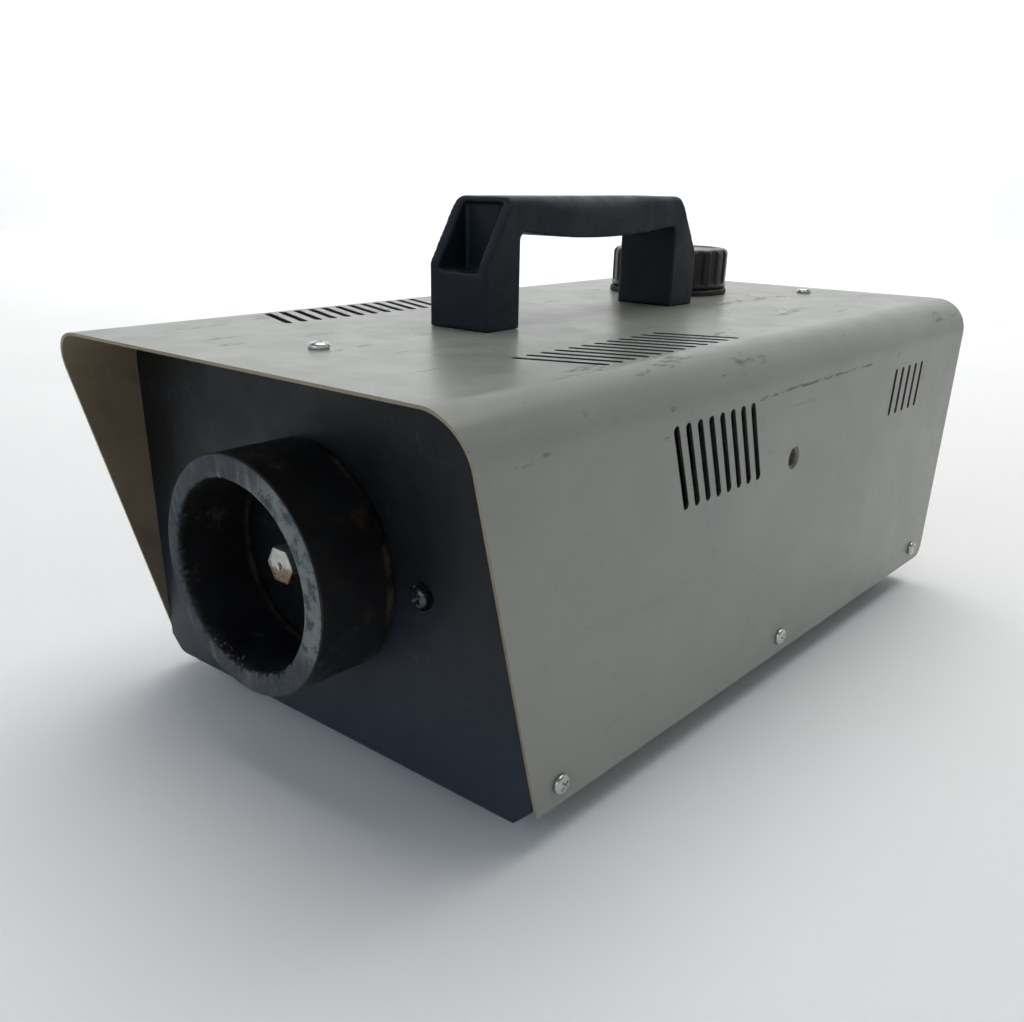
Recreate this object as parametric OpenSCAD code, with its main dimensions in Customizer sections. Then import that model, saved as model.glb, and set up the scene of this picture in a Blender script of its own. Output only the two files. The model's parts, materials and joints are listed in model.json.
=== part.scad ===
// Fog machine: painted sheet cover over a folded chassis, with the heater, pump,
// fluid tank and rear controls inside. The nozzle faces -Y, +X is the right side,
// +Z is up, and the origin is under the middle of the case at floor level.

/* [Case] */
// Outside width of the cover
cover_w = 236; // [234:1:240]
// Length of the cover along its top
cover_l = 428; // [426:1:432]
// Height of the cover from its lower edge to its top
cover_h = 155; // [154:1:158]
// Outside radius of the two long bends
bend_r = 18; // [14:1:20]
// Thickness of the cover sheet
sheet_t = 1.2; // [1.0:0.1:1.4]
// Set-back of the side's lower front corner behind the top's front edge
rake = 39; // [30:1:42]
// Set-back of the front panel behind the top's front edge
panel_setback = 36.5; // [34:0.5:38]
// Set-back of the rear panel in front of the cover's rear edge
rear_setback = 11.2; // [10.5:0.1:12]
// Depth of the chassis pan below the cover's lower edge
pan_drop = 7; // [6:0.5:8]
// Thickness of the chassis sheet
chassis_t = 1.5; // [1.2:0.1:1.6]

/* [Vents] */
// Length of the long vent slots
slot_len = 37; // [30:1:38]
// Width of the vent slots
slot_w = 3.7; // [3:0.1:4.4]
// Slant of the long vent slots in degrees
slot_slant = 21.5; // [15:0.5:25]
// Number of long slots in each side
side_slots = 8; // [4:1:8]
// Number of slots in each row on the top
top_slots = 12; // [6:1:12]
// Number of short slots at the rear of each side
rear_slots = 5; // [3:1:5]

/* [Nozzle and shroud] */
// Height of the nozzle's axis above the cover's lower edge
nozzle_rise = 74; // [72:1:76]
// Outside radius of the shroud
shroud_r = 48.2; // [47:0.1:49]
// Inside radius of the shroud
shroud_bore_r = 38; // [36:0.5:40]
// Distance across the flats of the nozzle's hexagon
nozzle_af = 14; // [12:0.5:16]

/* [Handle] */
// Width of the handle
handle_w = 33; // [30:1:36]
// Length of the handle along its base
handle_l = 166; // [160:2:168]
// Height of the handle
handle_h = 53; // [50:1:56]
// Depth of each handle leg along the case
leg_d = 21.5; // [20:0.5:24]

/* [Tank] */
// Radius of the ribbed cap
cap_r = 33.7; // [33:0.1:35]
// Height of the cap above the top
cap_h = 24.6; // [23:0.1:27]
// Wall thickness of the tank
tank_wall = 2.5; // [2:0.1:3]

/* [Feet] */
// Height of the rubber feet
foot_h = 8; // [7:0.5:10]
// Radius of the rubber feet
foot_r = 10; // [8:0.5:11]

/* [Hidden] */
$fn = 72;
gap = 0.2;
half_w = cover_w / 2;
z_pan = foot_h;
z_edge = z_pan + pan_drop;
z_top = z_edge + cover_h;
z_under = z_top - sheet_t;
z_floor = z_pan + chassis_t;
y_front = -cover_l / 2;
y_rear = cover_l / 2;
y_panel = y_front + panel_setback;
y_rear_panel = y_rear - rear_setback;
y_lip = y_rear_panel + chassis_t + gap;
pan_x = half_w - sheet_t - 0.3;
pan_chamfer = 10;
pan_bend = 4;
flange_top = z_edge + 22;
z_axis = z_edge + nozzle_rise;

// Fasteners
m4_head_r = 4.2;
m4_head_h = 2.6;
m4_r = 2;
m4_hole_r = 2.2;
m3_r = 1.5;
yoke_bore_r = 4.25;
yoke_hole_r = 5.3;
yoke_nut_l = 10;
yoke_y = 4.5;
yoke_z = z_edge + 102;
side_screw_y = [-162, 16, 194];
side_screw_z = z_edge + 9.5;
top_screws = [[0, -168], [-32, 180], [32, 180]];
foot_recess = 3.5;
m4_nut_af = 7;
handle_hole_r = 2.8;
rear_screw_x = 70;
rear_screw_z = z_pan + 12;
inlet_screw_x = 20;
foot_points = [[-80, -150], [80, -150], [-80, 176], [80, 176]];
bracket_screw_x = 63;
shroud_screw_r = 43.1;
shroud_screw_angles = [90, 210, 330];

// Vent positions
vent_z = z_edge + 116;
top_vent_x = 81.5;
short_slot_l = 24.3;
short_slot_w = 3;

// Heater
block_x = 36;
block_y0 = -152;
block_y1 = -22;
block_half_h = 24;
coil_r = 3;
coil_x = 20;
coil_front_y = -130;
coil_back_y = -48;
coil_exit_r = 7;
coil_exit_y = coil_front_y - 4 - coil_exit_r;
coil_exit_x = -5;
element_r = 4;
element_x = 14;
element_rise = 13;
bolt_x = 30.5;
bolt_y = [-142, -32];
wool_x = 48;
wool_half_h = 40;
wool_y0 = -164;
wool_y1 = -14;
heater_window = [12, 28];
stat_y = [-61, -101];
stat_blade_x = 4.5;
housing_x = wool_x + 1.2;
housing_half_h = wool_half_h + 1.2;
heater_stand_x = 50;
heater_stand_y = -30;

// Pump
pump_x = -62;
pump_y = 30;
pump_body_r = 8;
plunger_r = 5;
plunger_z = [46, 70];
spring_z0 = 30.6;
pump_bore_r = plunger_r + 0.05;
pump_plate_y = 52;
pump_mount_z = [42, 68];

// Tank
tank_x = [-99, 51];
tank_y = [72, 198];
tank_z = [12.8, 132];
tank_r = 12;
neck_x = -30;
neck_y = 126;
neck_r = 27.5;
neck_bore_r = 24;
cap_roof = 3.4;
seal_t = 2.2;
neck_top = z_top + cap_h - cap_roof - seal_t - 0.6;
cap_bore_r = neck_r + 0.6;
cap_ribs = 20;
cap_rib_w = 5.6;
grommet_r = cap_r + 0.6;
grommet_t = 3.2;
pickup_x = -85;
pickup_y = 88;
hose_r = 3.5;
tube_r = 3;

// Electronics and rear panel
board_x = [58, 110];
board_y = [80, 160];
board_z = 20;
earth_x = 100;
earth_y = 40;
inlet_x = 82;
inlet_z = 48;
fuse_x = 66;
fuse_z = 87;
switch_x = 94;
switch_z = 87;
remote_x = 82;
remote_z = 125;
window_x = -84;
window_z = 74;
window_h = 84;
rocker_pivot_y = y_rear_panel - 0.8;
rocker_r = 8.2;
rocker_tilt = 11;

// Handle
handle_y = -8;
leg_y = handle_l / 2 - leg_d / 2;
shelf_z = 23;
screw_well_r = 7;
screw_well_depth = 7;

// ---- Shared shapes ----

// Extrude an outline drawn in X and Z from y0 to y1
module along_y(y0, y1)
    translate([0, y1, 0]) rotate([90, 0, 0]) linear_extrude(y1 - y0) children();

// Extrude an outline drawn in Y and Z from x0 to x1
module along_x(x0, x1)
    translate([x0, 0, 0]) rotate([90, 0, 90]) linear_extrude(x1 - x0) children();

module rod_x(r, x0, x1, y, z) translate([x0, y, z]) rotate([0, 90, 0]) cylinder(r = r, h = x1 - x0);

module rod_y(r, y0, y1, x, z) translate([x, y1, z]) rotate([90, 0, 0]) cylinder(r = r, h = y1 - y0);

module rod_z(r, z0, z1, x, y) translate([x, y, z0]) cylinder(r = r, h = z1 - z0);

module block(x0, x1, y0, y1, z0, z1) translate([x0, y0, z0]) cube([x1 - x0, y1 - y0, z1 - z0]);

// Rectangle with round corners
module round_rect(x0, x1, y0, y1, r) {
    translate([x0 + r, y0]) square([x1 - x0 - 2 * r, y1 - y0]);
    translate([x0, y0 + r]) square([x1 - x0, y1 - y0 - 2 * r]);
    for (x = [x0 + r, x1 - r])
        for (y = [y0 + r, y1 - r])
            translate([x, y]) circle(r);
}

// Slot with round ends, upright in its outline
module slot_2d(length, width) {
    square([width, length - width], center = true);
    for (s = [-1, 1])
        translate([0, s * (length - width) / 2]) circle(d = width);
}

// Box with its corners rounded in all three views
module soft_block(x, y, z, r) {
    intersection() {
        translate([0, 0, z[0]]) linear_extrude(z[1] - z[0]) round_rect(x[0], x[1], y[0], y[1], r);
        along_y(y[0], y[1]) round_rect(x[0], x[1], z[0], z[1], r);
        along_x(x[0], x[1]) round_rect(y[0], y[1], z[0], z[1], r);
    }
}

// Straight round bar between two points
module segment(a, b, r) {
    d = b - a;
    l = norm(d);
    translate(a) rotate([0, acos(d[2] / l), atan2(d[1], d[0])]) cylinder(r = r, h = l);
}

// Round bar that follows a list of points
module run(points, r) {
    for (i = [1 : len(points) - 1])
        segment(points[i - 1], points[i], r);
    for (i = [1 : len(points) - 2])
        translate(points[i]) sphere(r + 0.05);
}

// Cross recess pan head on a shank that points down from the origin
module pan_screw(head_r, head_h, shank_r, shank_l) {
    dome_r = head_r * 1.35;
    difference() {
        intersection() {
            cylinder(r = head_r, h = head_h);
            translate([0, 0, head_h - dome_r]) sphere(dome_r);
        }
        for (a = [45, 135])
            rotate(a) translate([-head_r * 0.55, -0.5, head_h - 1.5]) cube([head_r * 1.1, 1, 2]);
    }
    translate([0, 0, -shank_l]) cylinder(r = shank_r, h = shank_l + 0.1);
}

module hex_nut(af, h, bore_r) {
    difference() {
        cylinder(d = af / cos(30), h = h, $fn = 6);
        translate([0, 0, -1]) cylinder(r = bore_r, h = h + 2);
    }
}

// ---- Case ----

// Outline of the hood across the case, filled
module hood_2d(inset) {
    r = bend_r - inset;
    x = half_w - inset;
    translate([-x, z_edge - 2]) square([2 * x, z_top - inset - r - z_edge + 2]);
    translate([-(x - r), z_edge - 2]) square([2 * (x - r), z_top - inset - z_edge + 2]);
    for (s = [-1, 1])
        translate([s * (x - r), z_top - inset - r]) circle(r);
}

function rake_y(z) = y_front + rake * (z_top - 2 - z) / (cover_h - 2);

function side_slot_y(i) = -94.1 + 8.4 * i;

function rear_slot_y(i) = 115.5 + 9.1 * i;

function top_slot_y(i) = -124.5 + 8.6 * i;

// Front rake, rear corner rounding and lower trim, as seen from the side
module cover_side_trim() {
    polygon([[y_front - 2, z_edge - 3], [rake_y(z_edge - 3), z_edge - 3], [y_front, z_top - 2],
        [y_front - 2, z_top - 2]]);
    translate([y_front - 2, z_edge - 3]) square([cover_l + 4, 3]);
    difference() {
        translate([y_rear - 7, z_edge - 1]) square([8, 8]);
        translate([y_rear - 7, z_edge + 7]) circle(7);
    }
}

module cover() color([0.66, 0.67, 0.64]) {
    difference() {
        along_y(y_front, y_rear) difference() {
            hood_2d(0);
            hood_2d(sheet_t);
            translate([-half_w, z_edge - 5]) square([cover_w, 5]);
        }
        along_x(-half_w - 1, half_w + 1) cover_side_trim();
        for (i = [0 : side_slots - 1])
            along_x(-half_w - 1, half_w + 1)
                translate([side_slot_y(i), vent_z]) rotate(slot_slant) slot_2d(slot_len, slot_w);
        for (i = [0 : rear_slots - 1])
            along_x(-half_w - 1, half_w + 1)
                translate([rear_slot_y(i), vent_z]) rotate(-2) slot_2d(short_slot_l, short_slot_w);
        for (i = [0 : top_slots - 1])
            for (s = [-1, 1])
                translate([s * top_vent_x, top_slot_y(i), z_top - 3]) linear_extrude(5)
                    rotate(s * (slot_slant - 90)) slot_2d(slot_len, slot_w);
        for (y = side_screw_y)
            rod_x(m4_hole_r, -half_w - 1, half_w + 1, y, side_screw_z);
        rod_x(yoke_hole_r, -half_w - 1, half_w + 1, yoke_y, yoke_z);
        for (p = top_screws)
            rod_z(m4_hole_r, z_top - 3, z_top + 1, p[0], p[1]);
        for (s = [-1, 1])
            rod_z(handle_hole_r, z_top - 3, z_top + 1, 0, handle_y + s * leg_y);
        rod_z(neck_r + 2.2, z_top - 3, z_top + 1, neck_x, neck_y);
    }
}

// Outline of the chassis across the case
module chassis_2d() {
    r = bend_r - sheet_t - gap;
    top = z_under - gap;
    polygon([[-(pan_x - pan_chamfer), z_pan], [pan_x - pan_chamfer, z_pan],
        [pan_x, z_pan + pan_chamfer], [pan_x, top - r], [-pan_x, top - r], [-pan_x, z_pan + pan_chamfer]]);
    translate([-(pan_x - r), top - r - 1]) square([2 * (pan_x - r), r + 1]);
    for (s = [-1, 1])
        translate([s * (pan_x - r), top - r]) circle(r);
}

// Inside of the folded tray across the case
module tray_inner_2d() {
    x = pan_x - chassis_t;
    c = pan_chamfer - chassis_t * (sqrt(2) - 1);
    polygon([[-(x - c), z_floor], [x - c, z_floor], [x, z_floor + c], [x, flange_top + 5],
        [-x, flange_top + 5], [-x, z_floor + c]]);
}

// Front wall, floor and rear lip from the side, with round bends
module chassis_fold_2d() {
    difference() {
        chassis_fold_outer_2d(0);
        chassis_fold_outer_2d(chassis_t);
    }
}

module chassis_fold_outer_2d(inset) {
    r = pan_bend - inset;
    y0 = y_panel + inset;
    y1 = y_lip + chassis_t - inset;
    translate([y0, z_pan + pan_bend]) square([y1 - y0, z_top - z_pan - pan_bend + 2 * inset]);
    translate([y0 + r, z_pan + inset]) square([y1 - y0 - 2 * r, pan_bend + 1]);
    for (y = [y0 + r, y1 - r])
        translate([y, z_pan + pan_bend]) circle(r);
}

base_screw_points = [[-heater_stand_x, heater_stand_y], [heater_stand_x, heater_stand_y],
    [-80, 60], [-44, 60], [-10, 64], [20, 64]];

module chassis() color([0.09, 0.1, 0.11]) {
    difference() {
        union() {
            intersection() {
                along_x(-pan_x, pan_x) chassis_fold_2d();
                along_y(y_panel - 1, y_lip + chassis_t + 1) chassis_2d();
            }
            along_y(y_panel + pan_bend, y_lip + chassis_t - pan_bend) difference() {
                intersection() {
                    chassis_2d();
                    translate([-half_w, 0]) square([cover_w, flange_top]);
                }
                tray_inner_2d();
            }
            block(-95, 95, y_panel + 0.5, y_panel + 22, z_under - gap - chassis_t, z_under - gap);
        }
        block(-half_w, half_w, y_lip - 1, y_lip + 5, z_pan + 16, z_top + 10);
        rod_y(11, y_panel - 1, y_panel + 3, 0, z_axis);
        for (s = [-1, 1])
            rod_y(m4_hole_r, y_panel - 1, y_panel + 3, s * bracket_screw_x, z_axis);
        for (a = shroud_screw_angles)
            rod_y(1.8, y_panel - 1, y_panel + 3, shroud_screw_r * cos(a), z_axis + shroud_screw_r * sin(a));
        for (y = side_screw_y)
            rod_x(m4_r, -half_w, half_w, y, side_screw_z);
        rod_z(m4_r, z_under - 4, z_top, top_screws[0][0], top_screws[0][1]);
        for (p = foot_points)
            rod_z(m4_r, z_pan - 1, z_floor + 1, p[0], p[1]);
        for (p = base_screw_points)
            rod_z(m4_hole_r, z_pan - 1, z_floor + 1, p[0], p[1]);
        for (x = [-rear_screw_x, rear_screw_x])
            rod_y(m4_hole_r, y_lip - 1, y_lip + 3, x, rear_screw_z);
        rod_z(m4_hole_r, z_pan - 1, z_floor + 1, earth_x, earth_y);
    }
}

module nozzle_shroud() color([0.05, 0.05, 0.055]) {
    length = panel_setback - 1.2;
    difference() {
        translate([0, y_panel - gap, z_axis]) rotate([90, 0, 0]) rotate_extrude()
            polygon([[shroud_bore_r, 0], [shroud_r, 0], [shroud_r, length - 1.2], [shroud_r - 1.2, length],
                [shroud_bore_r + 0.8, length], [shroud_bore_r, length - 0.8]]);
        for (a = shroud_screw_angles)
            rod_y(m3_r, y_panel - 12, y_panel, shroud_screw_r * cos(a), z_axis + shroud_screw_r * sin(a));
    }
}

module shroud_screws() color([0.55, 0.56, 0.58]) {
    for (a = shroud_screw_angles)
        translate([shroud_screw_r * cos(a), y_panel + chassis_t + 0.05, z_axis + shroud_screw_r * sin(a)])
            rotate([-90, 0, 0]) pan_screw(2.9, 2, m3_r - 0.05, 10);
}

module nozzle() color([0.7, 0.66, 0.58]) {
    tip = y_front + 20;
    difference() {
        union() {
            intersection() {
                translate([0, tip + 12, z_axis]) rotate([90, 0, 0])
                    cylinder(d = nozzle_af / cos(30), h = 12, $fn = 6);
                translate([0, tip, z_axis]) rotate([-90, 0, 0])
                    cylinder(r1 = nozzle_af / 2 - 1.6, r2 = nozzle_af / 2 + 12, h = 14);
            }
            rod_y(6, tip + 12, y_panel + 2.2, 0, z_axis);
            rod_y(4.6, y_panel + 2.1, block_y0 + 5.8, 0, z_axis);
        }
        rod_y(1.3, tip - 1, block_y0 + 7, 0, z_axis);
    }
}

module bracket_screws() color([0.1, 0.1, 0.11]) {
    for (s = [-1, 1]) {
        translate([s * bracket_screw_x, y_panel - 1, z_axis]) rotate([90, 0, 0])
            pan_screw(m4_head_r, m4_head_h, m4_r, 7);
        translate([s * bracket_screw_x, y_panel - 0.05, z_axis]) rotate([90, 0, 0]) difference() {
            cylinder(r = 5.4, h = 0.9);
            translate([0, 0, -1]) cylinder(r = m4_r + 0.1, h = 3);
        }
        translate([s * bracket_screw_x, y_panel + 6.4, z_axis]) rotate([90, 0, 0])
            hex_nut(m4_nut_af, 3, m4_r + 0.02);
    }
}

module cover_side_screws() color([0.72, 0.72, 0.7]) {
    for (s = [-1, 1])
        for (y = side_screw_y)
            translate([s * (half_w + 0.05), y, side_screw_z]) rotate([0, s * 90, 0])
                pan_screw(m4_head_r, m4_head_h, m4_r - 0.05, 8);
}

module cover_top_screws() color([0.72, 0.72, 0.7]) {
    for (p = top_screws)
        translate([p[0], p[1], z_top + 0.05]) pan_screw(m4_head_r, m4_head_h, m4_r - 0.05, 6);
}

module yoke_nuts() color([0.6, 0.6, 0.6]) {
    for (s = [-1, 1])
        translate([s * (half_w - sheet_t - 0.1 - yoke_nut_l), yoke_y, yoke_z]) rotate([0, s * 90, 0])
            difference() {
                cylinder(r = 9, h = yoke_nut_l);
                translate([0, 0, -1]) cylinder(r = yoke_bore_r, h = yoke_nut_l + 2);
            }
}

// ---- Handle ----

// Side outline of the handle, with y and z measured from its middle on the cover
module handle_side_2d() {
    half = handle_l / 2;
    polygon([[-half, 0], [-half, handle_h / 2], [-(half - 17), handle_h], [half - 17, handle_h],
        [half, handle_h / 2], [half, 0]]);
}

// Hand gap between the legs: the beam's underside swells down in the middle
module hand_gap_2d() {
    half = handle_l / 2 - leg_d;
    corner = 4;
    swell = 4;
    low = handle_h - 17.5;
    arc_r = (half * half + swell * swell) / (2 * swell);
    difference() {
        union() {
            translate([-half, -1]) square([2 * half, low]);
            translate([-half + corner, -1]) square([2 * (half - corner), low + 1 + swell]);
            for (s = [-1, 1])
                translate([s * (half - corner), low + swell - corner]) circle(corner);
        }
        translate([0, low + arc_r]) circle(arc_r, $fn = 360);
    }
}

module handle() color([0.06, 0.065, 0.075]) {
    pocket_x = handle_w / 2 - 5;
    web = 3.5;
    web_y = handle_l / 2 - leg_d + web;
    edge_r = 4;
    translate([0, handle_y, z_top + 0.1]) difference() {
        intersection() {
            along_x(-handle_w / 2, handle_w / 2) difference() {
                handle_side_2d();
                hand_gap_2d();
            }
            along_y(-handle_l / 2 - 1, handle_l / 2 + 1) union() {
                translate([-handle_w / 2, 0]) square([handle_w, handle_h - edge_r]);
                translate([-handle_w / 2 + edge_r, 0]) square([handle_w - 2 * edge_r, handle_h]);
                for (s = [-1, 1])
                    translate([s * (handle_w / 2 - edge_r), handle_h - edge_r]) circle(edge_r);
            }
        }
        for (s = [-1, 1]) {
            along_x(-pocket_x, pocket_x)
                translate([s > 0 ? web_y : -handle_l / 2 - 2, shelf_z])
                    square([leg_d - web + 2, handle_h - shelf_z - 2.5]);
            rod_z(handle_hole_r, -1, shelf_z + 1, 0, s * leg_y);
            rod_z(screw_well_r, shelf_z - screw_well_depth, shelf_z + 1, 0, s * leg_y);
        }
    }
}

module handle_screws() color([0.62, 0.62, 0.62]) {
    head_z = z_top + 0.1 + shelf_z - screw_well_depth + 1.25;
    for (s = [-1, 1]) {
        translate([0, handle_y + s * leg_y, head_z])
            pan_screw(4.6, 3.4, 2.5, 32 - screw_well_depth);
        translate([0, handle_y + s * leg_y, head_z - 1.2]) difference() {
            cylinder(r = 6, h = 1.15);
            translate([0, 0, -1]) cylinder(r = 2.6, h = 4);
        }
        translate([0, handle_y + s * leg_y, z_under - 5.5]) hex_nut(8, 4, 2.52);
        translate([0, handle_y + s * leg_y, z_under - 1.4]) difference() {
            cylinder(r = 7.5, h = 1.2);
            translate([0, 0, -1]) cylinder(r = 2.6, h = 4);
        }
    }
}

// ---- Cap and filler ----

module tank_cap() color([0.05, 0.05, 0.055]) {
    z0 = z_top + grommet_t + 0.5;
    z1 = z_top + cap_h;
    translate([neck_x, neck_y, 0]) difference() {
        union() {
            translate([0, 0, z0 + 2]) cylinder(r = cap_r - 1, h = z1 - z0 - 2 - 1.5);
            translate([0, 0, z1 - 1.5]) cylinder(r1 = cap_r - 1, r2 = cap_r - 2.5, h = 1.5);
            translate([0, 0, z0]) cylinder(r = cap_r, h = 2);
            for (i = [0 : cap_ribs - 1])
                rotate(i * 360 / cap_ribs) translate([cap_r - 2.5, -cap_rib_w / 2, z0 + 1])
                    cube([2.3, cap_rib_w, z1 - z0 - 3]);
        }
        translate([0, 0, z0 - 1]) cylinder(r = cap_bore_r, h = z1 - cap_roof - z0 + 1);
        translate([0, 0, z1 - cap_roof - 0.5]) cylinder(r = cap_bore_r + 1, h = 0.5);
    }
}

module cap_seal() color([0.75, 0.74, 0.7]) {
    z1 = z_top + cap_h - cap_roof - 0.3;
    translate([neck_x, neck_y, z1 - seal_t]) difference() {
        cylinder(r = neck_r + 0.1, h = seal_t);
        translate([0, 0, -1]) cylinder(r = neck_bore_r - 2, h = 5);
    }
}

module neck_grommet() color([0.08, 0.08, 0.085]) {
    translate([neck_x, neck_y, 0]) difference() {
        union() {
            translate([0, 0, z_top + 0.1]) cylinder(r = grommet_r, h = grommet_t - 1);
            translate([0, 0, z_top + 0.1 + grommet_t - 1])
                cylinder(r1 = grommet_r, r2 = grommet_r - 1, h = 0.8);
            translate([0, 0, z_under - 2.5]) cylinder(r = neck_r + 2, h = sheet_t + 3);
        }
        translate([0, 0, z_under - 5]) cylinder(r = neck_r + 0.3, h = 20);
    }
}

// ---- Rear panel and controls ----

// Outline of the rear panel, which fits inside the tray and the hood
module rear_panel_2d() {
    x = pan_x - chassis_t - 0.5;
    r = 15;
    top = z_under - gap;
    low = z_floor + 0.3;
    polygon([[-(x - 9), low], [x - 9, low], [x, low + 9], [x, top - r], [-x, top - r], [-x, low + 9]]);
    translate([-(x - r), top - r - 1]) square([2 * (x - r), r + 1]);
    for (s = [-1, 1])
        translate([s * (x - r), top - r]) circle(r);
}

module rear_panel() color([0.09, 0.1, 0.11]) {
    difference() {
        union() {
            along_y(y_rear_panel - chassis_t, y_rear_panel) rear_panel_2d();
            block(-90, 90, y_rear_panel - 32, y_rear_panel - 0.5, z_under - gap - chassis_t, z_under - gap);
        }
        block(inlet_x - 13.8, inlet_x + 13.8, y_rear_panel - 3, y_rear_panel + 1, inlet_z - 10, inlet_z + 10);
        for (s = [-1, 1])
            rod_y(m3_r + 0.1, y_rear_panel - 3, y_rear_panel + 1, inlet_x + s * inlet_screw_x, inlet_z);
        rod_y(6.2, y_rear_panel - 3, y_rear_panel + 1, fuse_x, fuse_z);
        block(switch_x - 6.6, switch_x + 6.6, y_rear_panel - 3, y_rear_panel + 1,
            switch_z - 9.7, switch_z + 9.7);
        rod_y(8, y_rear_panel - 3, y_rear_panel + 1, remote_x, remote_z);
        along_y(y_rear_panel - 3, y_rear_panel + 1)
            translate([window_x, window_z]) slot_2d(window_h, 10);
        for (x = [-rear_screw_x, rear_screw_x])
            rod_y(m4_r, y_rear_panel - 3, y_rear_panel + 1, x, rear_screw_z);
        for (p = [top_screws[1], top_screws[2]])
            rod_z(m4_r, z_under - 4, z_top, p[0], p[1]);
    }
}

module rear_panel_screws() color([0.1, 0.1, 0.11]) {
    for (x = [-rear_screw_x, rear_screw_x])
        translate([x, y_lip + chassis_t + 0.05, rear_screw_z]) rotate([-90, 0, 0])
            pan_screw(m4_head_r, m4_head_h, m4_r - 0.05, 6);
}

module mains_inlet() color([0.07, 0.07, 0.075]) {
    y0 = y_rear_panel + 0.1;
    difference() {
        union() {
            along_y(y0, y0 + 2.4) round_rect(inlet_x - 25, inlet_x + 25, inlet_z - 11.5, inlet_z + 11.5, 4);
            block(inlet_x - 13.5, inlet_x + 13.5, y0 - 21, y0 + 0.1, inlet_z - 9.8, inlet_z + 9.8);
        }
        block(inlet_x - 11.9, inlet_x + 11.9, y0 - 15, y0 + 3, inlet_z - 8.2, inlet_z + 8.2);
        for (s = [-1, 1])
            rod_y(m3_r + 0.1, y0 - 1, y0 + 3, inlet_x + s * inlet_screw_x, inlet_z);
    }
    for (s = [-1, 1])
        block(inlet_x + s * 7 - 1, inlet_x + s * 7 + 1, y0 - 15.1, y0 - 1, inlet_z - 3, inlet_z + 1);
    block(inlet_x - 1, inlet_x + 1, y0 - 15.1, y0, inlet_z + 0.5, inlet_z + 4.5);
    for (x = [-7, 0, 7])
        block(inlet_x + x - 2.4, inlet_x + x + 2.4, y0 - 29, y0 - 20.9, inlet_z - 0.4, inlet_z + 0.4);
}

module inlet_screws() color([0.15, 0.15, 0.16]) {
    for (s = [-1, 1])
        translate([inlet_x + s * inlet_screw_x, y_rear_panel + 2.55, inlet_z]) rotate([-90, 0, 0])
            pan_screw(2.9, 2, m3_r, 9);
}

module fuse_holder() color([0.07, 0.07, 0.075]) {
    y0 = y_rear_panel + 0.1;
    difference() {
        union() {
            rod_y(8, y0, y0 + 1.8, fuse_x, fuse_z);
            rod_y(6, y0 - 32, y0 + 0.1, fuse_x, fuse_z);
            translate([fuse_x, y0 - 2, fuse_z]) rotate([90, 0, 0]) cylinder(d = 17 / cos(30), h = 3, $fn = 6);
        }
        rod_y(3.6, y0 - 27, y0 + 3, fuse_x, fuse_z);
    }
    block(fuse_x - 2.4, fuse_x + 2.4, y0 - 40, y0 - 31.9, fuse_z - 0.4, fuse_z + 0.4);
}

module fuse() color([0.8, 0.82, 0.82]) {
    y0 = y_rear_panel - 24;
    rod_y(2.3, y0 + 4, y0 + 16, fuse_x, fuse_z);
    rod_y(2.6, y0, y0 + 5, fuse_x, fuse_z);
    rod_y(2.6, y0 + 15, y0 + 20, fuse_x, fuse_z);
}

module fuse_cap() color([0.07, 0.07, 0.075]) {
    y0 = y_rear_panel + 2.3;
    ribs = 20;
    difference() {
        union() {
            rod_y(6.1, y0, y0 + 7.6, fuse_x, fuse_z);
            for (i = [0 : ribs - 1])
                translate([fuse_x, y0 + 7, fuse_z]) rotate([90, 0, 0])
                    rotate(i * 360 / ribs) translate([5.8, -0.4, 0]) cube([0.7, 0.8, 6]);
            rod_y(3.2, y0 - 6, y0 + 0.1, fuse_x, fuse_z);
        }
        block(fuse_x - 4.5, fuse_x + 4.5, y0 + 6.6, y0 + 9, fuse_z - 0.7, fuse_z + 0.7);
    }
}

module switch_housing() color([0.06, 0.06, 0.065]) {
    y0 = y_rear_panel + 0.1;
    difference() {
        union() {
            along_y(y0, y0 + 1.8)
                round_rect(switch_x - 7.5, switch_x + 7.5, switch_z - 10.6, switch_z + 10.6, 1.2);
            block(switch_x - 6.4, switch_x + 6.4, y0 - 16, y0 + 0.1, switch_z - 9.5, switch_z + 9.5);
        }
        rod_x(rocker_r + 0.3, switch_x - 5.2, switch_x + 5.2, rocker_pivot_y, switch_z);
        block(switch_x - 5.2, switch_x + 5.2, rocker_pivot_y, y0 + 3,
            switch_z - rocker_r - 0.3, switch_z + rocker_r + 0.3);
        rod_x(1.25, switch_x - 6.1, switch_x + 6.1, rocker_pivot_y, switch_z);
    }
    for (z = [-5, 0, 5])
        block(switch_x - 2.4, switch_x + 2.4, y0 - 24, y0 - 15.9, switch_z + z - 0.4, switch_z + z + 0.4);
}

// Rocker with a round back and a shallow V front, tilted to its off position
module rocker() color([0.55, 0.07, 0.06]) {
    translate([switch_x, rocker_pivot_y, switch_z]) rotate([-rocker_tilt, 0, 0]) {
        intersection() {
            rod_x(rocker_r, -4.9, 4.9, 0, 0);
            along_x(-5, 5) polygon([[-9, -9], [2.6, -9], [2.6, -8], [1.2, 0], [2.6, 8], [2.6, 9], [-9, 9]]);
        }
        rod_x(1.2, -6, 6, 0, 0);
    }
}

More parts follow.
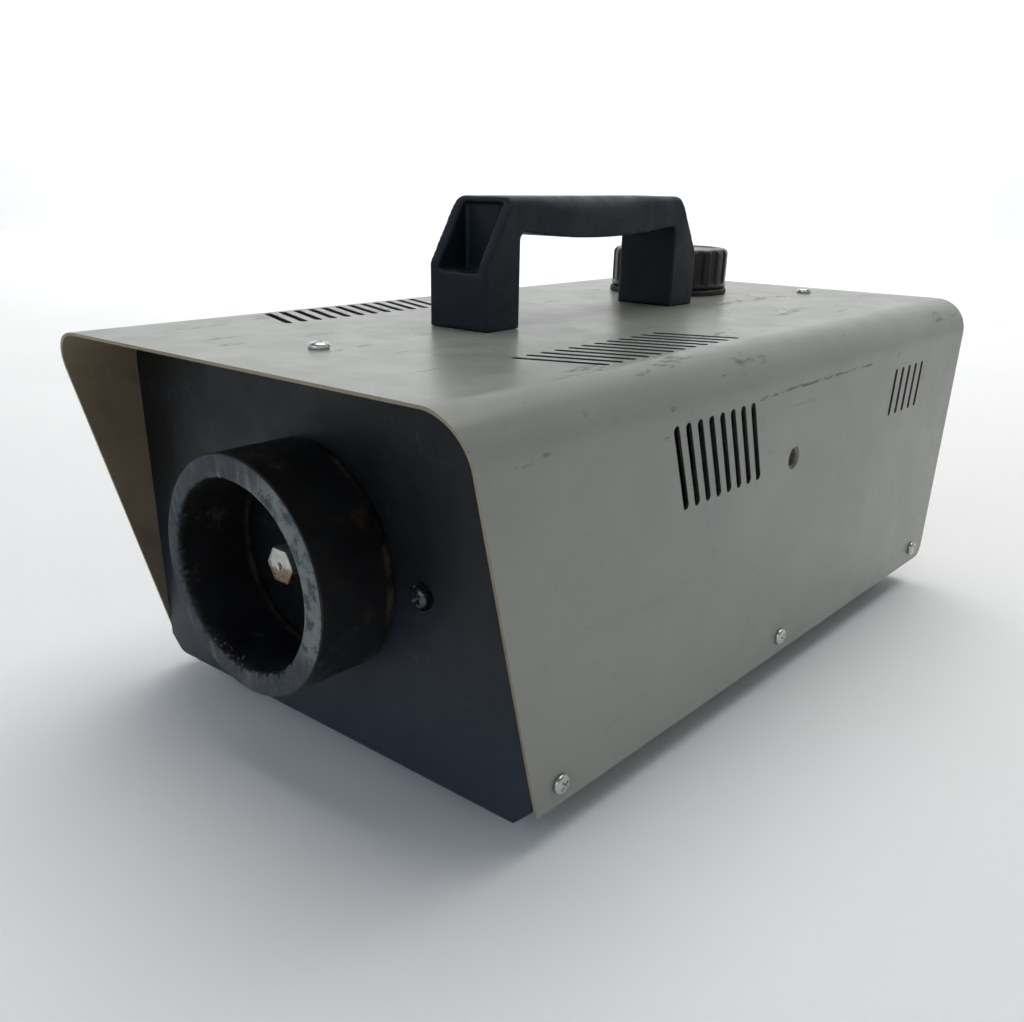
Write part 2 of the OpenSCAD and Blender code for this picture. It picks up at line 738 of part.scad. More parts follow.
module remote_socket() color([0.07, 0.07, 0.075]) {
    y0 = y_rear_panel + 0.1;
    difference() {
        union() {
            along_y(y0, y0 + 1.5) round_rect(remote_x - 11, remote_x + 11, remote_z - 11, remote_z + 11, 3);
            rod_y(7.8, y0 - 15, y0 + 0.1, remote_x, remote_z);
        }
        difference() {
            rod_y(6.8, y0 - 9, y0 + 3, remote_x, remote_z);
            rod_y(1, y0 - 10, y0 - 3, remote_x, remote_z + 6.4);
        }
        for (a = [0 : 45 : 180])
            rod_y(0.8, y0 - 13, y0 - 8, remote_x + 4.4 * cos(a), remote_z - 4.4 * sin(a));
    }
}

module level_window() color([0.8, 0.85, 0.85, 0.5])
    along_y(y_rear_panel - chassis_t - 1.6, y_rear_panel - chassis_t - 0.1)
        round_rect(window_x - 9, window_x + 9, window_z - window_h / 2 - 5, window_z + window_h / 2 + 5, 2);

module rating_plate() color([0.7, 0.71, 0.7])
    along_y(y_rear_panel + 0.05, y_rear_panel + 0.35) round_rect(-48, 14, 96, 134, 2);

// ---- Heater ----

// Serpentine route of the vapour coil at the split plane, from the rear to its front exit
module coil_path(r) {
    bend = coil_x / 2;
    rod_y(r, coil_front_y, block_y1 + 10, coil_x, z_axis);
    translate([bend, coil_front_y, z_axis]) rotate(180)
        rotate_extrude(angle = 180) translate([bend, 0]) circle(r);
    rod_y(r, coil_front_y, coil_back_y, 0, z_axis);
    translate([-bend, coil_back_y, z_axis])
        rotate_extrude(angle = 180) translate([bend, 0]) circle(r);
    rod_y(r, coil_front_y - 4, coil_back_y, -coil_x, z_axis);
    translate([-coil_x + coil_exit_r, coil_front_y - 4, z_axis]) rotate(180)
        rotate_extrude(angle = 90) translate([coil_exit_r, 0]) circle(r);
    rod_x(r, -coil_x + coil_exit_r, coil_exit_x, coil_exit_y, z_axis);
}

module vapour_coil() color([0.72, 0.55, 0.35]) {
    coil_path(coil_r);
    translate([coil_exit_x, coil_exit_y, z_axis]) sphere(coil_r);
}

module heater_bolt_holes(r) {
    for (x = [-bolt_x, bolt_x])
        for (y = bolt_y)
            rod_z(r, z_axis - block_half_h - 1, z_axis + block_half_h + 1, x, y);
}

// Cuts that both castings share: the coil's channel, the nozzle's socket and the bolt holes
module heater_bores() {
    bore_r = coil_r + gap;
    coil_path(bore_r);
    rod_x(bore_r, coil_exit_x - 1, -coil_exit_x, coil_exit_y, z_axis);
    rod_y(4.8, block_y0 - 1, block_y0 + 6, 0, z_axis);
    rod_y(bore_r, block_y0, coil_exit_y, 0, z_axis);
    heater_bolt_holes(2.7);
}

module heater_block_lower() color([0.62, 0.62, 0.6]) {
    difference() {
        block(-block_x, block_x, block_y0, block_y1, z_axis - block_half_h, z_axis - 0.1);
        heater_bores();
    }
}

// Hairpin route of the tubular element inside the upper casting
module element_path(r) {
    turn = -126;
    for (s = [-1, 1])
        rod_y(r, turn, block_y1 + 6, s * element_x, z_axis + element_rise);
    translate([0, turn, z_axis + element_rise]) rotate(180)
        rotate_extrude(angle = 180) translate([element_x, 0]) circle(r);
}

module heater_block_upper() color([0.62, 0.62, 0.6]) {
    difference() {
        block(-block_x, block_x, block_y0, block_y1, z_axis + 0.1, z_axis + block_half_h);
        heater_bores();
        element_path(element_r + 0.1);
    }
}

module heating_element() color([0.45, 0.44, 0.42]) {
    element_path(element_r);
    for (s = [-1, 1])
        rod_y(1.4, block_y1 + 5.9, block_y1 + 16, s * element_x, z_axis + element_rise);
}

module heater_bolts() color([0.6, 0.6, 0.6]) {
    top = z_axis + block_half_h;
    low = z_axis - block_half_h;
    for (x = [-bolt_x, bolt_x])
        for (y = bolt_y) {
            translate([x, y, top + 0.05]) cylinder(d = 8 / cos(30), h = 3.2, $fn = 6);
            rod_z(2.5, low - 4, top + 0.1, x, y);
            translate([x, y, low - 3.6]) hex_nut(8, 3.5, 2.5);
        }
}

module heater_insulation() color([0.78, 0.76, 0.68]) {
    difference() {
        block(-wool_x, wool_x, wool_y0, wool_y1, z_axis - wool_half_h, z_axis + wool_half_h);
        block(-block_x - 0.5, block_x + 0.5, block_y0 - 0.5, block_y1 + 0.5,
            z_axis - block_half_h - 4.6, z_axis + block_half_h + 4);
        rod_y(7, wool_y0 - 1, block_y0, 0, z_axis);
        rod_y(coil_r + 1, block_y1, wool_y1 + 1, coil_x, z_axis);
        for (s = [-1, 1])
            rod_y(element_r + 1, block_y1, wool_y1 + 1, s * element_x, z_axis + element_rise);
        for (y = stat_y)
            block(-heater_window[0], heater_window[0], y - heater_window[1] / 2, y + heater_window[1] / 2,
                z_axis + block_half_h, z_axis + wool_half_h + 1);
    }
}

module heater_housing() color([0.7, 0.71, 0.7]) {
    difference() {
        along_y(wool_y0 - 1, wool_y1 + 1) difference() {
            translate([-housing_x, z_axis - housing_half_h]) square([2 * housing_x, 2 * housing_half_h]);
            translate([-wool_x - gap, z_axis - wool_half_h - gap])
                square([2 * (wool_x + gap), 2 * (wool_half_h + gap)]);
        }
        for (y = stat_y)
            block(-heater_window[0] - 1, heater_window[0] + 1, y - heater_window[1] / 2 - 1,
                y + heater_window[1] / 2 + 1, z_axis + 20, z_axis + housing_half_h + 1);
    }
}

module heater_front_brackets() color([0.7, 0.71, 0.7]) {
    y0 = y_panel + chassis_t + gap;
    x0 = housing_x + gap;
    for (s = [-1, 1])
        mirror([s < 0 ? 1 : 0, 0, 0]) difference() {
            union() {
                block(x0, x0 + 26, y0, y0 + 1.5, z_axis - 12, z_axis + 12);
                block(x0, x0 + 1.5, y0, y0 + 40, z_axis - 12, z_axis + 12);
            }
            rod_y(m4_hole_r, y0 - 1, y0 + 3, bracket_screw_x, z_axis);
        }
}

module heater_rear_bracket() color([0.7, 0.71, 0.7]) {
    low = z_floor + gap;
    high = z_axis - housing_half_h - gap;
    t = 1.5;
    difference() {
        along_y(heater_stand_y - 10, heater_stand_y + 10) {
            translate([-42, high - t]) square([84, t]);
            for (s = [-1, 1]) {
                translate([s * 41.25 - t / 2, low]) square([t, high - low]);
                translate([s > 0 ? 41 : -59, low]) square([18, t]);
            }
        }
        for (s = [-1, 1])
            rod_z(m4_hole_r, low - 1, low + 3, s * heater_stand_x, heater_stand_y);
    }
}

// Disc thermostat on a small flange with two blade terminals
module disc_switch(y) {
    z0 = z_axis + block_half_h + 0.1;
    translate([0, y, 0]) {
        translate([0, 0, z0]) linear_extrude(0.8) round_rect(-11, 11, -7, 7, 3);
        translate([0, 0, z0 + 0.7]) cylinder(r = 8, h = 10);
        for (s = [-1, 1])
            translate([s * stat_blade_x - 0.4, -3, z0 + 10.6]) cube([0.8, 6, 8]);
    }
}

module thermostat() color([0.5, 0.45, 0.35]) disc_switch(stat_y[0]);

module thermal_cutout() color([0.35, 0.2, 0.15]) disc_switch(stat_y[1]);

// ---- Pump ----

module pump_bracket() color([0.7, 0.71, 0.7]) {
    z0 = z_floor + gap;
    difference() {
        union() {
            block(-92, -32, pump_plate_y, pump_plate_y + 1.5, z0, 82);
            block(-92, -32, pump_plate_y, pump_plate_y + 14, z0, z0 + 1.5);
        }
        for (p = [base_screw_points[2], base_screw_points[3]])
            rod_z(m4_hole_r, z0 - 1, z0 + 3, p[0], p[1]);
    }
}

module pump_mounts() color([0.08, 0.08, 0.08]) {
    for (z = pump_mount_z)
        rod_y(6, pump_y + 19.1, pump_plate_y - 0.1, pump_x, z);
}

module pump_coil() color([0.12, 0.13, 0.16]) {
    difference() {
        union() {
            block(pump_x - 21, pump_x + 21, pump_y - 18, pump_y + 18, 36, 76);
            block(pump_x - 22, pump_x + 22, pump_y - 19, pump_y + 19, 34.5, 36.1);
            block(pump_x - 22, pump_x + 22, pump_y - 19, pump_y + 19, 75.9, 77.5);
            block(pump_x - 22, pump_x + 22, pump_y + 17.9, pump_y + 19, 34.5, 77.5);
            for (s = [-1, 1])
                block(pump_x + s * 8 - 3, pump_x + s * 8 + 3, pump_y - 26, pump_y - 17.9, 68, 68.8);
        }
        rod_z(pump_body_r + gap, 30, 80, pump_x, pump_y);
    }
}

module pump_body() color([0.85, 0.84, 0.8]) {
    difference() {
        union() {
            rod_z(pump_body_r, 16, 94, pump_x, pump_y);
            rod_z(11, 78, 94, pump_x, pump_y);
            rod_x(2.4, pump_x - 24, pump_x, pump_y, 23);
        }
        rod_z(pump_bore_r, 30, 84, pump_x, pump_y);
        rod_z(2, 20, 95, pump_x, pump_y);
        rod_x(1.2, pump_x - 25, pump_x, pump_y, 23);
    }
}

module pump_outlet() color([0.75, 0.6, 0.3]) {
    translate([pump_x, pump_y, 0]) difference() {
        union() {
            translate([0, 0, 94.1]) cylinder(d = 13 / cos(30), h = 7, $fn = 6);
            translate([0, 0, 101]) cylinder(r = 4.5, h = 5);
            translate([0, 0, 105.9]) cylinder(r = 1.9, h = 8);
        }
        translate([0, 0, 90]) cylinder(r = 1, h = 30);
    }
}

module pump_plunger() color([0.6, 0.6, 0.62]) {
    difference() {
        rod_z(plunger_r, plunger_z[0], plunger_z[1], pump_x, pump_y);
        rod_z(1.6, plunger_z[0] - 1, plunger_z[1] + 1, pump_x, pump_y);
    }
}

// Helix of round wire, swept as rings of points
module pump_spring() color([0.7, 0.7, 0.7]) {
    wire_r = 0.6;
    coil_mid_r = 4.3;
    turns = 6;
    steps = 14;
    sides = 6;
    last = turns * steps;
    z0 = spring_z0 + wire_r;
    rise = plunger_z[0] - 0.1 - wire_r - z0;
    points = [for (i = [0 : last]) for (j = [0 : sides - 1])
        let (turn = 360 * i / steps, side = 360 * j / sides, r = coil_mid_r + wire_r * cos(side))
            [r * cos(turn), r * sin(turn), z0 + rise * i / last + wire_r * sin(side)]];
    walls = [for (i = [0 : last - 1]) for (j = [0 : sides - 1])
        let (k = (j + 1) % sides)
            [i * sides + j, i * sides + k, (i + 1) * sides + k, (i + 1) * sides + j]];
    start = [for (j = [sides - 1 : -1 : 0]) j];
    end = [for (j = [0 : sides - 1]) last * sides + j];
    translate([pump_x, pump_y, 0])
        polyhedron(points, concat([start], walls, [end]), convexity = 10);
}

// ---- Tank and hoses ----

module tank() color([0.88, 0.88, 0.84]) {
    w = tank_wall;
    difference() {
        union() {
            soft_block(tank_x, tank_y, tank_z, tank_r);
            rod_z(neck_r, tank_z[1] - 3, neck_top, neck_x, neck_y);
        }
        soft_block([tank_x[0] + w, tank_x[1] - w], [tank_y[0] + w, tank_y[1] - w],
            [tank_z[0] + w, tank_z[1] - w], tank_r - w);
        rod_z(neck_bore_r, tank_z[1] - 6, neck_top + 1, neck_x, neck_y);
        rod_z(5, tank_z[1] - 6, tank_z[1] + 1, pickup_x, pickup_y);
    }
}

module tank_pad() color([0.12, 0.12, 0.12])
    block(tank_x[0] + 4, tank_x[1] - 4, tank_y[0] + 4, tank_y[1] - 4, z_floor + gap, tank_z[0] - gap);

module tank_bracket() color([0.7, 0.71, 0.7]) {
    y1 = tank_y[0] - 0.3;
    t = 1.2;
    z0 = z_floor + gap;
    z1 = tank_z[1] + 0.3;
    difference() {
        union() {
            block(-20, 30, y1 - t, y1, z0, z1 + t);
            block(-20, 30, y1 - 14, y1, z0, z0 + t);
            block(-20, 30, y1 - t, y1 + 20, z1, z1 + t);
        }
        for (p = [base_screw_points[4], base_screw_points[5]])
            rod_z(m4_hole_r, z0 - 1, z0 + 3, p[0], p[1]);
    }
}

module pickup_tube() color([0.8, 0.8, 0.76]) {
    difference() {
        union() {
            rod_z(2.4, 26, tank_z[1] + 14, pickup_x, pickup_y);
            rod_z(8, tank_z[1] + 0.1, tank_z[1] + 3, pickup_x, pickup_y);
            rod_z(4.8, tank_z[1] - 5, tank_z[1] + 0.2, pickup_x, pickup_y);
        }
        rod_z(1.3, 25, tank_z[1] + 15, pickup_x, pickup_y);
    }
}

module intake_filter() color([0.65, 0.5, 0.28]) {
    difference() {
        union() {
            rod_z(6, 17, 29, pickup_x, pickup_y);
            rod_z(4, 28.9, 32, pickup_x, pickup_y);
        }
        rod_z(2.5, 20, 33, pickup_x, pickup_y);
    }
}

module suction_hose() color([0.85, 0.86, 0.82]) {
    top = tank_z[1] + 20;
    side = -100;
    points = [[pickup_x, pickup_y, tank_z[1] + 4], [pickup_x, pickup_y, top], [pickup_x, 62, top],
        [side, 62, top], [side, 62, 23], [side, pump_y, 23], [pump_x - 12, pump_y, 23]];
    difference() {
        run(points, hose_r);
        rod_z(2.45, tank_z[1] + 3, tank_z[1] + 14.1, pickup_x, pickup_y);
        rod_x(2.45, pump_x - 24.1, pump_x - 11, pump_y, 23);
    }
}

module pressure_tube() color([0.9, 0.9, 0.88]) {
    high = 126;
    points = [[pump_x, pump_y, 106.2], [pump_x, pump_y, high], [coil_x, pump_y, high],
        [coil_x, pump_y, z_axis], [coil_x, block_y1 + 10.2, z_axis]];
    difference() {
        run(points, tube_r);
        rod_z(1.95, 105, 114, pump_x, pump_y);
    }
}

// ---- Electronics ----

module control_board() color([0.1, 0.3, 0.16])
    block(board_x[0], board_x[1], board_y[0], board_y[1], board_z, board_z + 1.6);

module board_standoffs() color([0.7, 0.6, 0.35]) {
    for (x = [board_x[0] + 4, board_x[1] - 8])
        for (y = [board_y[0] + 4, board_y[1] - 4]) {
            rod_z(3, z_floor + 0.1, board_z - 0.05, x, y);
            rod_z(2.6, board_z + 1.65, board_z + 3.4, x, y);
        }
}

module board_relay() color([0.12, 0.25, 0.5]) {
    z0 = board_z + 1.7;
    block(62, 81, board_y[0] + 12, board_y[0] + 27, z0, z0 + 15.5);
    block(84, 93, board_y[0] + 12, board_y[0] + 30, z0, z0 + 12);
}

module board_transformer() color([0.5, 0.42, 0.2]) {
    z0 = board_z + 1.7;
    block(64, 96, board_y[0] + 34, board_y[0] + 60, z0 + 4, z0 + 24);
    block(68, 92, board_y[0] + 31, board_y[0] + 63, z0, z0 + 19);
    for (y = [board_y[0] + 20, board_y[0] + 40])
        rod_z(5, z0, z0 + 16, 101, y);
}

function terminal_x(i) = 67.5 + 5.4 * i;

module terminal_block() color([0.15, 0.4, 0.22]) {
    z0 = board_z + 1.7;
    difference() {
        block(64.9, 98, board_y[1] - 12, board_y[1] - 2, z0, z0 + 12);
        for (i = [0 : 5])
            rod_z(1.9, z0 + 8, z0 + 13, terminal_x(i), board_y[1] - 7);
    }
}

module earth_stud() color([0.75, 0.65, 0.35]) {
    translate([earth_x, earth_y, z_pan + 0.1]) cylinder(r = 2.1, h = 16);
    translate([earth_x, earth_y, z_floor + 0.1]) hex_nut(m4_nut_af, 3.2, 2.12);
    translate([earth_x, earth_y, z_floor + 3.4]) difference() {
        cylinder(r = 4.5, h = 0.8);
        translate([0, 0, -1]) cylinder(r = 2.15, h = 3);
    }
    translate([earth_x, earth_y, z_floor + 6]) hex_nut(m4_nut_af, 3.2, 2.12);
}

module wiring() color([0.5, 0.08, 0.06]) {
    r = 1.3;
    tab_y = y_rear_panel - 29.3;
    term_y = board_y[1] - 7;
    term_z = board_z + 9.8;
    stat_z = z_axis + block_half_h + 18.8;
    element_z = z_axis + element_rise;
    pump_tab = [pump_x + 8, pump_y - 26.1, 68.4];
    fuse_lead_y = 158;
    element_lead_z = 56;
    stat_lead_z = 62;
    stat_bridge_z = 140;
    pump_lead_y = -4;
    earth_lead_y = 166;
    earth_lead_z = 40;
    remote_lead = [106, 150];
    // Mains inlet to the fuse
    run([[inlet_x - 7, tab_y, inlet_z], [inlet_x - 7, fuse_lead_y, inlet_z],
        [inlet_x - 7, fuse_lead_y, fuse_z], [fuse_x, fuse_lead_y, fuse_z],
        [fuse_x, y_rear_panel - 40, fuse_z]], r);
    // Switch and inlet to the terminal block
    run([[terminal_x(5), y_rear_panel - 24, switch_z], [terminal_x(5), term_y, switch_z],
        [terminal_x(5), term_y, term_z]], r);
    run([[terminal_x(4), tab_y, inlet_z], [terminal_x(4), term_y, inlet_z],
        [terminal_x(4), term_y, term_z]], r);
    // Terminal block to the heating element
    run([[terminal_x(0), term_y, term_z], [terminal_x(0), term_y, element_lead_z],
        [terminal_x(0), 0, element_lead_z],
        [terminal_x(0), 0, element_z], [-element_x, 0, element_z],
        [-element_x, block_y1 + 16.1, element_z]], r);
    // Terminal block to the thermostat, and on to the thermal cut-out
    run([[terminal_x(1), term_y, term_z], [terminal_x(1), term_y, stat_lead_z],
        [terminal_x(1), stat_y[0], stat_lead_z], [terminal_x(1), stat_y[0], stat_bridge_z],
        [stat_blade_x, stat_y[0], stat_bridge_z], [stat_blade_x, stat_y[0], stat_z]], r);
    run([[-stat_blade_x, stat_y[0], stat_z], [-stat_blade_x, stat_y[0], stat_bridge_z],
        [-stat_blade_x, stat_y[1], stat_bridge_z],
        [-stat_blade_x, stat_y[1], stat_z]], r);
    // Terminal block to the pump coil
    run([[terminal_x(2), term_y, term_z], [terminal_x(2), term_y, pump_tab[2]],
        [terminal_x(2), pump_lead_y, pump_tab[2]], [pump_tab[0], pump_lead_y, pump_tab[2]], pump_tab], r);
    // Earth lead
    run([[inlet_x, tab_y, inlet_z], [inlet_x, earth_lead_y, inlet_z],
        [inlet_x, earth_lead_y, earth_lead_z], [earth_x, earth_lead_y, earth_lead_z],
        [earth_x, earth_y, earth_lead_z], [earth_x, earth_y, z_pan + 16.2]], r);
    // Remote socket to the board
    run([[remote_x, y_rear_panel - 15, remote_z], [remote_x, remote_lead[1], remote_z],
        [remote_lead[0], remote_lead[1], remote_z], [remote_lead[0], remote_lead[1], board_z + 1.7]], r);
}

// ---- Fixings below the base ----

module base_screws() color([0.72, 0.72, 0.7]) {
    for (p = foot_points)
        translate([p[0], p[1], foot_recess - 0.05]) rotate([180, 0, 0])
            pan_screw(m4_head_r, m4_head_h, m4_r - 0.05, z_floor - foot_recess - 0.1);
    for (p = base_screw_points) {
        translate([p[0], p[1], z_pan - 0.05]) rotate([180, 0, 0]) pan_screw(m4_head_r, m4_head_h, m4_r, 8);
        translate([p[0], p[1], z_floor + 1.8]) hex_nut(m4_nut_af, 3, m4_r + 0.02);
    }
}

module feet() color([0.08, 0.08, 0.08]) {
    for (p = foot_points)
        translate([p[0], p[1], 0]) difference() {
            cylinder(r1 = foot_r - 1, r2 = foot_r, h = foot_h - 0.1);
            translate([0, 0, -1]) cylinder(r = 5.2, h = foot_recess + 1);
            cylinder(r = m4_hole_r, h = foot_h + 1);
        }
}

cover();
chassis();
nozzle_shroud();
nozzle();
bracket_screws();
cover_side_screws();
cover_top_screws();
yoke_nuts();
handle();
handle_screws();
tank_cap();
cap_seal();
neck_grommet();
rear_panel();
rear_panel_screws();
shroud_screws();
heater_block_lower();
heater_block_upper();
heating_element();
vapour_coil();
heater_bolts();
heater_insulation();
heater_housing();
heater_front_brackets();
heater_rear_bracket();
thermostat();
thermal_cutout();
pump_bracket();
pump_mounts();
pump_coil();
pump_body();
pump_outlet();
pump_plunger();
pump_spring();
tank();
tank_pad();
tank_bracket();
pickup_tube();
intake_filter();
suction_hose();
pressure_tube();
control_board();
board_relay();
board_transformer();
terminal_block();
board_standoffs();
wiring();
earth_stud();
mains_inlet();
inlet_screws();
fuse_holder();
fuse();
fuse_cap();
switch_housing();
rocker();
remote_socket();
level_window();
rating_plate();
base_screws();
feet();
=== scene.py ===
"""Looks of the fog machine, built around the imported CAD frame. Lengths are in metres."""

import json
import random
from math import cos, hypot, pi, radians, sin

import bmesh
import bpy
from mathutils import Matrix, Vector, noise


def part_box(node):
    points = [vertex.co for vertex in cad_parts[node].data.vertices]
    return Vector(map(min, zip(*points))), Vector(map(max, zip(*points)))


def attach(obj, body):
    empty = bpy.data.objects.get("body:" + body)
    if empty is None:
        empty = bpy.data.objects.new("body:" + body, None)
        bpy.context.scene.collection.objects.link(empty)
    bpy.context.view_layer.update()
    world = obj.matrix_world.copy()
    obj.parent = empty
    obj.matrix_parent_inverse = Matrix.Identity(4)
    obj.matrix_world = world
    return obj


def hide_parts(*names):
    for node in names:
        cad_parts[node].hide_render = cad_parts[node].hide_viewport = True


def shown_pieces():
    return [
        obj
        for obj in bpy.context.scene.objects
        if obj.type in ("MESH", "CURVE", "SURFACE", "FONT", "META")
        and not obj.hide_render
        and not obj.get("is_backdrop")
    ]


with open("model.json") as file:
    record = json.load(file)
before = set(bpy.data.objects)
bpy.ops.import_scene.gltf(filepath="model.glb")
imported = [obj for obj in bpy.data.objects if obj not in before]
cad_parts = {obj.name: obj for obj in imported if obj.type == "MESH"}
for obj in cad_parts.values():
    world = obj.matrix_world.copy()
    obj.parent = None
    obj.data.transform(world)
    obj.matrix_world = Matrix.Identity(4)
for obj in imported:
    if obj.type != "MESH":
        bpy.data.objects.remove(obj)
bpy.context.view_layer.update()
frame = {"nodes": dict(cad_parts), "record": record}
MM = 0.001

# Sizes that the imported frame's boxes don't give
BEND_R = 18 * MM
SHEET_T = 1.2 * MM
SHROUD_BORE_R = 38 * MM
SCREW_HEAD_R = 4.2 * MM
SCREW_HEAD_H = 2.6 * MM

# ---------------------------------------------------------------- camera, light and floor


def make_camera():
    """Low three-quarter view from the front right."""
    azimuth, elevation, roll = radians(40.61), radians(24.18), radians(0.95)
    data = bpy.data.cameras.new("camera")
    data.sensor_width = 36
    data.lens = 34.75
    data.shift_x = 0.0146
    data.shift_y = 0.1104
    camera = bpy.data.objects.new("camera", data)
    turn = Matrix.Rotation(azimuth, 3, "Z") @ Matrix.Rotation(pi / 2 - elevation, 3, "X")
    camera.matrix_world = Matrix.Translation((0.3026, -0.4146, 0.2292)) @ (
        turn @ Matrix.Rotation(roll, 3, "Z")
    ).to_4x4()
    bpy.context.scene.collection.objects.link(camera)
    bpy.context.scene.camera = camera


def area_light(name, place, target, size, power, colour):
    """Rectangular soft light at place that faces target."""
    data = bpy.data.lights.new(name, "AREA")
    data.shape = "RECTANGLE"
    data.size, data.size_y = size
    data.energy = power
    data.color = colour
    light = bpy.data.objects.new(name, data)
    light.location = place
    light.rotation_mode = "QUATERNION"
    light.rotation_quaternion = (Vector(target) - Vector(place)).to_track_quat("-Z", "Y")
    bpy.context.scene.collection.objects.link(light)


def make_light():
    """Mostly overhead, so that the sides are lit by what the floor throws back."""
    bpy.context.scene.view_settings.view_transform = "Standard"
    world = bpy.data.worlds.new("studio")
    world.use_nodes = True
    background = world.node_tree.nodes["Background"]
    background.inputs["Color"].default_value = (0.9, 0.95, 1.0, 1)
    background.inputs["Strength"].default_value = 0.14
    bpy.context.scene.world = world
    area_light("overhead", (-0.15, 0.5, 2.2), (0, 0.05, 0), (2.0, 2.0), 32.5, (1, 0.99, 0.96))
    area_light("wall", (-1.6, 1.9, 3.2), (-3.6, 4.3, 0.4), (4.5, 2.0), 140, (1, 1, 1))
    area_light("front", (0.1, -2.2, 1.0), (0, -0.2, 0.04), (1.6, 1.0), 8, (0.5, 0.75, 1))


def make_floor():
    """Pale studio bowl: a flat floor that curves up into a wall on every side."""
    flat, curve, wall = 4.5, 1.5, 5.0
    profile = [(0.5, 0), (flat, 0)]
    for i in range(1, 13):
        a = pi / 2 * i / 12
        profile.append((flat + curve * sin(a), curve - curve * cos(a)))
    profile.append((flat + curve, wall))
    bm, grid = lathe([lambda a, r=r, z=z: (r, z - 0.0002) for r, z in profile], 96)
    fan(bm, grid[0], (0, 0, -0.0002))
    bmesh.ops.recalc_face_normals(bm, faces=bm.faces)
    mesh = bpy.data.meshes.new("studio_floor")
    bm.to_mesh(mesh)
    bm.free()
    mesh.shade_smooth()
    floor = bpy.data.objects.new("studio_floor", mesh)
    bpy.context.scene.collection.objects.link(floor)
    g = Graph("studio_paper")
    tone = g.ramp(g.noise(3, 3), 0.3, 0.7, 0.9, 0.92)
    g.set("Base Color", g.mix(tone, (0, 0, 0), (1, 1, 1)))
    g.set("Roughness", 0.8)
    g.set("Normal", g.bump(g.noise(900, 2), 0.05, 0.0002))
    g.set("Emission Color", (1, 1, 1))
    g.set("Emission Strength", g.ramp(g.axis("Z"), 0.0, 0.9, 0.0, 0.1))
    mesh.materials.append(g.material)
    floor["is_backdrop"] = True


# ---------------------------------------------------------------- material graphs


